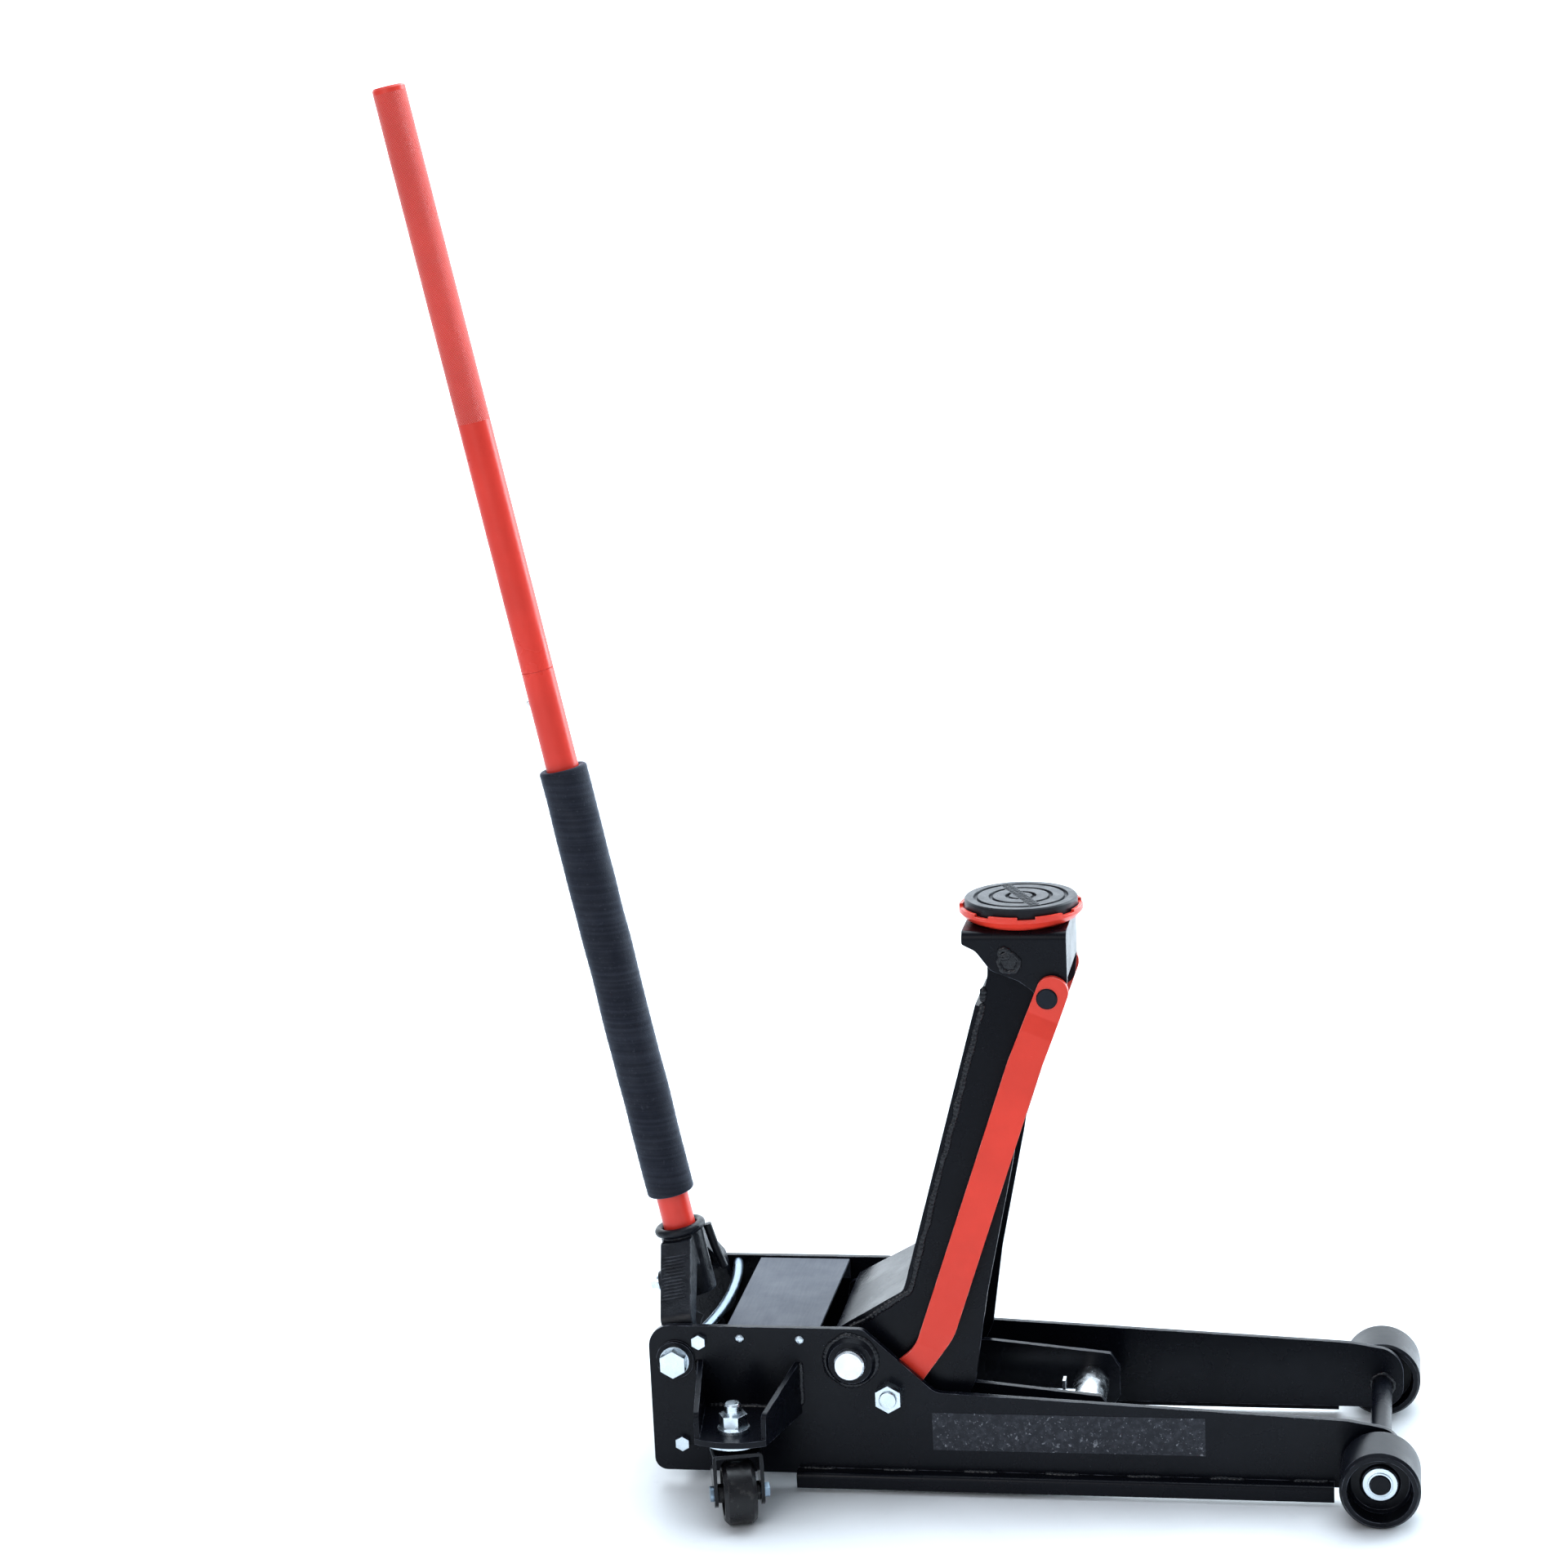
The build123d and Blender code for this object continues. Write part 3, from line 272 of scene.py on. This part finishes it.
# Closed-cell foam: pores, faint rings left by the extrusion
foam = Finish("handle_foam", (0.011, 0.0135, 0.023), 0.7, specular=0.4)
foam.set(Sheen_Weight=0.3, Sheen_Roughness=0.4, Sheen_Tint=(0.7, 0.8, 1.0, 1.0))
tilt = math.atan2(-handle_along.x, handle_along.z)
along_handle = foam.mapped((3, 3, 260), (0, tilt, 0))
foam.tint(foam.ramp(foam.noise(1, 3, vector=along_handle), 0.42, 0.68, 0.0, 0.5), (0.035, 0.04, 0.058))
foam.tint(foam.ramp(foam.noise(380, 3), 0.62, 0.74, 0.0, 0.5), (0.06, 0.066, 0.085))
foam.vary_roughness(foam.noise(60, 4), 0.68, 0.88)
pores = foam.node("ShaderNodeTexVoronoi", feature="F1")
pores.inputs["Scale"].default_value = 900
foam.link(foam.place, pores.inputs["Vector"])
foam.bump(pores.outputs["Distance"], 0.35, 0.0004)
foam.bump(foam.noise(1, 2, vector=along_handle), 0.25, 0.0004)

# Painted casting: coarse sand texture
casting = Finish("painted_casting", (0.007, 0.0085, 0.013), 0.32, specular=0.36)
cast_edges = casting.rounded(0.0025)
# Edges are lightened where noise allows: partly chipped paint, partly a painted highlight along the
# edges.
chipped_and_highlit_edges = casting.maths("MULTIPLY", cast_edges, casting.ramp(casting.noise(90, 5), 0.4, 0.6))
casting.tint(chipped_and_highlit_edges, (0.09, 0.1, 0.12))
casting.tint(casting.ramp(casting.noise(35, 6), 0.42, 0.72, 0.0, 0.6), (0.025, 0.028, 0.037))
casting.vary_roughness(casting.noise(70, 6), 0.26, 0.46)
casting.bump(casting.noise(420, 4), 0.5, 0.0006)
casting.bump(casting.noise(90, 3), 0.4, 0.0012)

# Moulded nylon caster tread with scuffs
tread = Finish("caster_nylon", (0.008, 0.008, 0.01), 0.24)
tread.rounded(0.001)
tread.tint(tread.ramp(tread.noise(140, 6), 0.55, 0.72, 0.0, 0.6), (0.07, 0.068, 0.066))
tread.vary_roughness(tread.noise(50, 5), 0.2, 0.48)
tread.bump(tread.noise(500, 3), 0.2, 0.0003)

# Weld metal under paint
weld_paint = Finish("painted_weld", (0.008, 0.009, 0.013), 0.2)
weld_paint.tint(weld_paint.ramp(weld_paint.noise(300, 4), 0.5, 0.7, 0.0, 0.7), (0.035, 0.037, 0.042))
weld_paint.vary_roughness(weld_paint.noise(200, 4), 0.14, 0.36)
weld_paint.bump(weld_paint.noise(500, 4), 0.5, 0.0004)

# Clear label film with dust under it, left blank
label_film = Finish("blank_label_film", (0.02, 0.022, 0.03), 0.36, specular=0.35)
label_film.tint(label_film.ramp(label_film.noise(160, 8, 0.7), 0.48, 0.7, 0.0, 0.8), (0.07, 0.074, 0.09))
label_film.tint(label_film.ramp(label_film.noise(420, 4), 0.62, 0.7, 0.0, 0.9), (0.26, 0.27, 0.3))
label_film.tint(label_film.ramp(label_film.noise(90, 3), 0.66, 0.72, 0.0, 0.7), (0.3, 0.31, 0.34))
label_film.vary_roughness(label_film.noise(120, 5), 0.25, 0.5)
label_film.bump(label_film.noise(260, 4), 0.3, 0.0003)


def add_knurl(finish, start, end, pitch=0.0022, diamonds_round=48):
    """Diamond knurl pressed into the upper grip, between two distances up the handle."""
    turned = finish.node("ShaderNodeMapping", vector_type="TEXTURE")
    turned.inputs["Location"].default_value = handle_base
    turned.inputs["Rotation"].default_value = (0, -tilt, 0)
    finish.link(finish.place, turned.inputs["Vector"])
    parts = finish.node("ShaderNodeSeparateXYZ")
    finish.link(turned.outputs["Vector"], parts.inputs["Vector"])
    angle = finish.maths("ARCTAN2", parts.outputs["Y"], parts.outputs["X"])
    round_way = finish.maths("MULTIPLY", angle, diamonds_round / 2)
    long_way = finish.maths("MULTIPLY", parts.outputs["Z"], math.pi / pitch)
    first = finish.maths("ABSOLUTE", finish.maths("SINE", finish.maths("ADD", round_way, long_way)))
    second = finish.maths("ABSOLUTE", finish.maths("SINE", finish.maths("SUBTRACT", round_way, long_way)))
    diamonds = finish.maths("MULTIPLY", first, second)
    inside = finish.maths(
        "MULTIPLY",
        finish.maths("GREATER_THAN", parts.outputs["Z"], start),
        finish.maths("LESS_THAN", parts.outputs["Z"], end),
    )
    finish.tint(finish.maths("MULTIPLY", inside, finish.ramp(diamonds, 0.75, 0.98)), (0.85, 0.4, 0.36))
    finish.bump(finish.maths("MULTIPLY", inside, diamonds), 0.7, 0.0006)


add_knurl(handle_red, 0.917, 1.232)

finishes = {
    black: """side_plate_right side_plate_left arm_plate_right arm_plate_left arm_rear_plate arm_bush
        head_bracket pull_link_right pull_link_left caster_bracket_right caster_bracket_left
        cylinder_tube reservoir_tube""",
    satin_black: "front_wheel_right front_wheel_left front_axle",
    fork_black: "caster_fork_right caster_fork_left",
    red: "radius_link_right radius_link_left saddle_cup",
    handle_red: "handle_lower_tube handle_upper_tube",
    zinc: """cover_rivets frame_bolts axle_rings link_bolts link_nuts yoke_bolts handle_bolt caster_nuts
        caster_stem_right caster_stem_left release_valve""",
    steel: """lift_shaft crosshead_pin ram_rod pump_piston_right pump_piston_left lock_button""",
    weld_paint: "head_pins",
    blue_steel: "stop_rod caster_bolt_right caster_bolt_left",
    dark_steel: "link_pins saddle_ring crosshead_rings gland_nut pump_cam crank_pins",
    cover_grey: "cover_plate",
    pad_rubber: "saddle_pad",
    foam: "foam_sleeve",
    casting: "yoke yoke_ring yoke_rod hydraulic_block",
    tread: "caster_wheel_right caster_wheel_left",
}
for finish, names in finishes.items():
    for name in names.split():
        mesh = frame["nodes"][name].data
        mesh.materials.clear()
        mesh.materials.append(finish.material)

# ---------------------------------------------------------------- pieces in mesh code


def make_piece(name, points, faces, finish, body, smooth=True):
    mesh = bpy.data.meshes.new(name)
    mesh.from_pydata([tuple(point) for point in points], [], faces)
    mesh.validate()
    mesh.materials.append(finish.material)
    mesh.polygons.foreach_set("use_smooth", [smooth] * len(mesh.polygons))
    piece = bpy.data.objects.new(name, mesh)
    scene.collection.objects.link(piece)
    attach(piece, body)
    return piece


def ring_faces(rows, count, closed_rows=False):
    faces = []
    last = rows if closed_rows else rows - 1
    for row in range(last):
        for column in range(count):
            a = row * count + column
            b = row * count + (column + 1) % count
            c = ((row + 1) % rows) * count + (column + 1) % count
            d = ((row + 1) % rows) * count + column
            faces.append((a, b, c, d))
    return faces


def resampled(points, step):
    """Points about one step apart along a line through the given points."""
    result = [points[0].copy()]
    for start, end in zip(points, points[1:]):
        count = max(1, round((end - start).length / step))
        result += [start.lerp(end, (index + 1) / count) for index in range(count)]
    return result


def bead_shape(path, outward, radius, seed, closed, pitch=0.0045):
    """A weld bead: overlapping scales of weld metal along a path."""
    sides = 10
    points = []
    count = len(path)
    travelled = 0.0
    for index, place in enumerate(path):
        ahead = path[(index + 1) % count] if closed or index < count - 1 else place
        behind = path[index - 1] if closed or index > 0 else place
        tangent = (ahead - behind).normalized()
        if index:
            travelled += (place - path[index - 1]).length
        facing = outward(place) if callable(outward) else Vector(outward)
        across = tangent.cross(facing).normalized()
        scale = 0.82 + 0.18 * math.sin((travelled / pitch % 1.0) * math.pi)
        wander = noise.noise(place * 90 + Vector((seed, 0, 0)))
        scale *= 1 + 0.35 * wander
        if not closed:
            ends = min(index, count - 1 - index)
            scale *= min(1.0, 0.25 + 0.3 * ends)
        shift = across * radius * 0.4 * noise.noise(place * 60 + Vector((0, seed, 0)))
        for side in range(sides):
            angle = 2 * math.pi * side / sides
            offset = facing * math.cos(angle) * 0.62 + across * math.sin(angle)
            points.append(place + shift + offset * radius * scale)
    faces = ring_faces(count, sides, closed)
    if not closed:
        faces.append(tuple(range(sides))[::-1])
        faces.append(tuple(range((count - 1) * sides, count * sides)))
    return points, faces


def weld(name, body, runs, radius, seed=1):
    """One object of several beads; each run is (points, outward, closed)."""
    points, faces = [], []
    for number, (line, outward, closed) in enumerate(runs):
        path = resampled(line + line[:1], 0.0011)[:-1] if closed else resampled(line, 0.0011)
        more_points, more_faces = bead_shape(path, outward, radius, seed + 7 * number, closed)
        faces += [tuple(corner + len(points) for corner in face) for face in more_faces]
        points += more_points
    return make_piece(name, points, faces, weld_paint, body)


def circle(middle, radius, y, start=0.0, end=2 * math.pi, count=48, wobble=0.0, seed=0):
    result = []
    for index in range(count):
        angle = start + (end - start) * index / (count if end - start > 6.28 else count - 1)
        wander = noise.noise(Vector((math.cos(angle) * 2, math.sin(angle) * 2, seed)))
        reach = radius * (1 + wobble * wander)
        result.append(Vector((middle.x + reach * math.cos(angle), y, middle.z + reach * math.sin(angle))))
    return result


# Each seam is (distance up the arm, distance to its rear)
arm_seams = (
    ((0.366, 0.0085), (0.22, -0.0102), (0.0734, -0.0285)),
    ((0.078, -0.0285), (0.04, -0.003), (0.012, 0.0185)),
    ((0.366, 0.0085), (0.374, 0.0115), (0.381, 0.0125)),
)
head_bracket_y = 0.0518
rail_stitch_start = axle.x - 0.553
rail_stitch_pitch, rail_stitch_length, rail_stitch_z = 0.0785, 0.034, 0.0203
bracket_weld_low_z, bracket_weld_high_z = 0.084, 0.129

for side, word in ((-1, "right"), (1, "left")):
    outward = (0, side, 0)
    weld(
        "arm_weld_" + word,
        "arm",
        [
            ([arm_point(*place, -0.0003, side) for place in seam], outward, False)
            for seam in arm_seams
        ],
        0.0036,
        3 + side,
    )
    collar_ring = circle(lift, 0.0245, side * (plate_y + 0.0005), wobble=0.06, seed=side)
    weld("collar_weld_" + word, "frame", [(collar_ring, outward, True)], 0.0033, 11 + side)
    upper_lobe = head + Vector((-0.004, 0, 0.0085))
    weld(
        "head_pin_weld_" + word,
        "head",
        [
            (circle(head, 0.0095, side * head_bracket_y, wobble=0.3, seed=5 + side), outward, True),
            (circle(upper_lobe, 0.0045, side * head_bracket_y, wobble=0.2, seed=9), outward, True),
        ],
        0.0026,
        23 + side,
    )
    axle_ring = circle(axle, 0.0105, side * (plate_inner_y - 0.0003), wobble=0.12, seed=2 + side)
    weld("axle_weld_" + word, "frame", [(axle_ring, (0, -side, 0), True)], 0.003, 31 + side)
    stitches = []
    for index in range(7):
        x = rail_stitch_start + rail_stitch_pitch * index
        stitch_y = side * (plate_y + 0.0008)
        ends = [Vector((end, stitch_y, rail_stitch_z)) for end in (x, x + rail_stitch_length)]
        stitches.append((ends, (0, side * 0.6, 0.8), False))
    weld("rail_weld_" + word, "frame", stitches, 0.0024, 41 + side)
    low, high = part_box("caster_bracket_" + word)
    foot = side * (plate_y + 0.0004)
    runs = []
    for x, lean in ((high.x + 0.0006, 0.7), (low.x - 0.0006, -0.7)):
        ends = [Vector((x, foot, z)) for z in (bracket_weld_low_z, bracket_weld_high_z)]
        runs.append((ends, (lean, side * 0.7, 0), False))
    ends = [Vector((x, foot, 0.0822)) for x in (low.x + 0.008, high.x - 0.008)]
    runs.append((ends, (0, side * 0.7, 0.7), False))
    weld("bracket_weld_" + word, "frame", runs, 0.003, 53 + side)

# ---------------------------------------------------------------- foam sleeve


def revolve_handle(name, profile, finish, body, count=64, lumps=0.0):
    points = []
    for radius, along in profile:
        for index in range(count):
            angle = 2 * math.pi * index / count
            place = handle_point(along, radius * math.cos(angle), radius * math.sin(angle))
            if lumps:
                direction = handle_across * math.cos(angle) + Vector((0, math.sin(angle), 0))
                place += direction * lumps * noise.noise(place * 22)
            points.append(place)
    return make_piece(name, points, ring_faces(len(profile), count, True), finish, body)


sleeve_low, sleeve_high, sleeve_radius = 0.136, 0.574, 0.0235
sleeve_bore, sleeve_end_radius = 0.0161, 0.0205
sleeve_profile = [
    (sleeve_bore, sleeve_low + 0.001),
    (sleeve_end_radius, sleeve_low),
    (sleeve_radius - 0.0016, sleeve_low + 0.0003),
    (sleeve_radius - 0.0004, sleeve_low + 0.0014),
]
steps = 90
for index in range(steps + 1):
    along = sleeve_low + 0.003 + (sleeve_high - sleeve_low - 0.006) * index / steps
    sleeve_profile.append((sleeve_radius - 0.0002 * (index % 2), along))
sleeve_profile += [
    (sleeve_radius - 0.0004, sleeve_high - 0.0014),
    (sleeve_radius - 0.0016, sleeve_high - 0.0003),
    (sleeve_end_radius, sleeve_high),
    (sleeve_bore, sleeve_high - 0.001),
]
sleeve = revolve_handle("foam_grip", sleeve_profile, foam, "handle", lumps=0.0007)
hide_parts("foam_sleeve")

# ---------------------------------------------------------------- threads on studs and bolts


def thread(name, body, start, axis, radius, length, pitch=0.002):
    """Helical ridge on a stud."""
    axis = Vector(axis)
    side_way = axis.orthogonal().normalized()
    other_way = axis.cross(side_way)
    per_turn = 28
    turns = length / pitch
    count = int(per_turn * turns)
    points, faces = [], []
    for index in range(count + 1):
        angle = 2 * math.pi * index / per_turn
        along = length * index / count
        direction = side_way * math.cos(angle) + other_way * math.sin(angle)
        fade = min(1.0, index / 10, (count - index) / 10)
        for reach, shift in ((-0.0006, -0.45), (0.0005 * fade, 0.0), (-0.0006, 0.45)):
            points.append(start + axis * (along + shift * pitch) + direction * (radius + reach))
    for index in range(count):
        a = index * 3
        faces += [(a, a + 1, a + 4, a + 3), (a + 1, a + 2, a + 5, a + 4)]
    return make_piece(name, points, faces, zinc, body)


for side, word in ((-1, "right"), (1, "left")):
    low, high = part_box("caster_stem_" + word)
    stud = Vector(((low.x + high.x) / 2, (low.y + high.y) / 2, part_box("caster_nuts")[1].z))
    thread("stud_thread_" + word, "frame", stud, (0, 0, 1), 0.0079, high.z - stud.z - 0.0025)
    bolt_end = Vector((link_foot.x, side * (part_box("link_nuts")[1].y + 0.0002), link_foot.z))
    thread("bolt_thread_" + word, "frame", bolt_end, (0, side, 0), 0.0079, 0.0026, 0.0013)

# ---------------------------------------------------------------- cast ribs on the yoke legs


def ridge_shape(start, end, outward, radius):
    """A low rounded rib from start to end, standing on a face."""
    path = resampled([start, end], 0.0015)
    tangent = (end - start).normalized()
    across = tangent.cross(outward).normalized()
    points = []
    for index, place in enumerate(path):
        ends = min(index, len(path) - 1 - index)
        scale = min(1.0, 0.35 + 0.3 * ends)
        for side in range(8):
            angle = 2 * math.pi * side / 8
            offset = outward * math.cos(angle) * 0.8 + across * math.sin(angle)
            points.append(place + offset * radius * scale)
    faces = ring_faces(len(path), 8)
    faces += [tuple(range(8))[::-1], tuple(range((len(path) - 1) * 8, len(path) * 8))]
    return points, faces


points, faces = [], []
# The leg's outer face runs between two points: (distance from the middle, distance up the handle)
leg_low = (0.091, 0.037)
leg_high = (0.025, 0.092)
rib_count, rib_start, rib_step = 13, 0.26, 0.045
rib_half_length, rib_shift, rib_radius = 0.0125, 0.003, 0.0011
for side in (-1, 1):
    leg_foot = handle_point(leg_low[1], 0, side * leg_low[0])
    slope = handle_point(leg_high[1], 0, side * leg_high[0]) - leg_foot
    face_out = handle_across.cross(slope).normalized()
    if face_out.y * side < 0:
        face_out = -face_out
    for index in range(rib_count):
        middle = leg_foot + slope * (rib_start + rib_step * index)
        reach = rib_half_length - 0.0012 * (index % 3)
        rear_end = middle - handle_across * (reach + rib_shift)
        front_end = middle + handle_across * (reach - rib_shift)
        more_points, more_faces = ridge_shape(rear_end, front_end, face_out, rib_radius)
        faces += [tuple(corner + len(points) for corner in face) for face in more_faces]
        points += more_points
make_piece("yoke_ribs", points, faces, casting, "yoke_body")

# ---------------------------------------------------------------- band across the rubber pad
pad_low, pad_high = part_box("saddle_pad")
pad_centre = (pad_low + pad_high) / 2
band_angle = math.radians(-65)
band_along = Vector((math.cos(band_angle), math.sin(band_angle), 0))
band_across = Vector((-band_along.y, band_along.x, 0))
half_length, half_width = 0.0425, 0.0062
top = pad_high.z - 0.0001
points, faces = [], []


def add_block(a, b, width, z_low, z_high, taper=0.0005):
    """A bar with sloping sides between two points on the pad."""
    along = (b - a).normalized()
    across = Vector((-along.y, along.x, 0))
    base = len(points)
    for z, inset in ((z_low, 0.0), (z_high, taper)):
        for place, sign in ((a, -1), (b, 1)):
            for way in (-1, 1):
                corner = place - along * sign * inset + across * way * (width / 2 - inset)
                points.append(Vector((corner.x, corner.y, z)))
    box_faces = ((0, 1, 3, 2), (4, 6, 7, 5), (0, 2, 6, 4), (1, 5, 7, 3), (0, 4, 5, 1), (2, 3, 7, 6))
    faces.extend([tuple(base + corner for corner in face) for face in box_faces])


band_half = band_along * half_length
band_top = top + 0.00004
add_block(pad_centre - band_half, pad_centre + band_half, 2 * half_width, top - 0.0014, band_top, 0.0003)
hatch_count, hatch_start, hatch_pitch = 17, -0.040, 0.005
for index in range(hatch_count):
    middle = pad_centre + band_along * (hatch_start + hatch_pitch * index)
    for lean in (-1, 1):
        half = band_across * 0.0052 + band_along * 0.003 * lean
        add_block(middle - half, middle + half, 0.0011, top - 0.0002, top + 0.0005, 0.00025)
make_piece("pad_band", points, faces, pad_rubber, "saddle", smooth=False)

# ---------------------------------------------------------------- blank label film on the side beams
label_start_x, label_end_x = 0.0155, 0.2760
label_top_z, label_foot_z, label_rise = 0.0795, 0.0415, 0.0008
columns, rows = 40, 8
for side, word in ((-1, "right"), (1, "left")):
    points, faces = [], []
    for column in range(columns + 1):
        share = column / columns
        x = label_start_x + (label_end_x - label_start_x) * column / columns
        for row in range(rows + 1):
            z = label_top_z + (label_foot_z - label_top_z) * row / rows + label_rise * share
            lift_off = 0.00025 + 0.00012 * noise.noise(Vector((x * 40, z * 60, side)))
            points.append(Vector((x, side * (plate_y + lift_off), z)))
    for column in range(columns):
        for row in range(rows):
            a = column * (rows + 1) + row
            faces.append((a, a + 1, a + rows + 2, a + rows + 1))
    make_piece("blank_label_" + word, points, faces, label_film, "frame")

# ---------------------------------------------------------------- floor and backdrop
floor_finish = Finish("pale_floor", (0.86, 0.88, 0.9), 0.55)
floor_finish.tint(floor_finish.ramp(floor_finish.noise(3, 6), 0.45, 0.75, 0.0, 0.5), (0.82, 0.845, 0.87))
floor_finish.tint(floor_finish.ramp(floor_finish.noise(55, 6), 0.6, 0.75, 0.0, 0.35), (0.78, 0.8, 0.83))
floor_finish.vary_roughness(floor_finish.noise(20, 4), 0.45, 0.65)
wall_finish = Finish("lit_wall", (0.86, 0.88, 0.9), 0.6)
wall_finish.set(Emission_Color=(0.88, 0.95, 1.0, 1.0), Emission_Strength=1.3)
wall_finish.tint(wall_finish.ramp(wall_finish.noise(2, 4), 0.45, 0.75, 0.0, 0.5), (0.82, 0.845, 0.87))


def stage_sheet(name, profile, finish):
    """A wide sheet drawn along X from (y, z) points."""
    points = [(x, y, z) for y, z in profile for x in (-9.0, 9.0)]
    faces = [(2 * i, 2 * i + 1, 2 * i + 3, 2 * i + 2) for i in range(len(profile) - 1)]
    mesh = bpy.data.meshes.new(name)
    mesh.from_pydata(points, [], faces)
    mesh.materials.append(finish.material)
    mesh.polygons.foreach_set("use_smooth", [True] * len(mesh.polygons))
    sheet = bpy.data.objects.new(name, mesh)
    scene.collection.objects.link(sheet)


stage_sheet("studio_floor", [(-6.0, 0.0), (3.2, 0.0)], floor_finish)
stage_sheet("studio_wall", [(3.2, 0.0), (4.2, 0.25), (5.0, 1.0), (5.4, 2.2), (5.5, 7.0)], wall_finish)

# ---------------------------------------------------------------- light


def soft_light(name, place, target, size, power, colour):
    data = bpy.data.lights.new(name, "AREA")
    data.shape = "RECTANGLE"
    data.size, data.size_y = size
    data.energy = power
    data.color = colour
    lamp = bpy.data.objects.new(name, data)
    lamp.location = place
    lamp.rotation_euler = (Vector(target) - Vector(place)).to_track_quat("-Z", "Y").to_euler()
    scene.collection.objects.link(lamp)


world = bpy.data.worlds.new("studio")
scene.world = world
world.use_nodes = True
background = world.node_tree.nodes["Background"]
background.inputs["Color"].default_value = (0.84, 0.91, 1.0, 1)
background.inputs["Strength"].default_value = 0.42
soft_light("overhead", (0.1, 1.4, 3.4), (0, 0.1, 0.2), (4.4, 3.6), 165, (0.84, 0.93, 1.0))
soft_light("back_right", (2.8, 1.9, 1.6), (0, 0, 0.5), (1.6, 2.4), 80, (0.8, 0.92, 1.0))
soft_light("front_fill", (-1.4, -3.4, 2.2), (0, 0, 0.5), (2.4, 2.4), 34, (1.0, 0.98, 0.97))
scene.view_settings.view_transform = "Standard"
scene.view_settings.look = "Medium High Contrast"
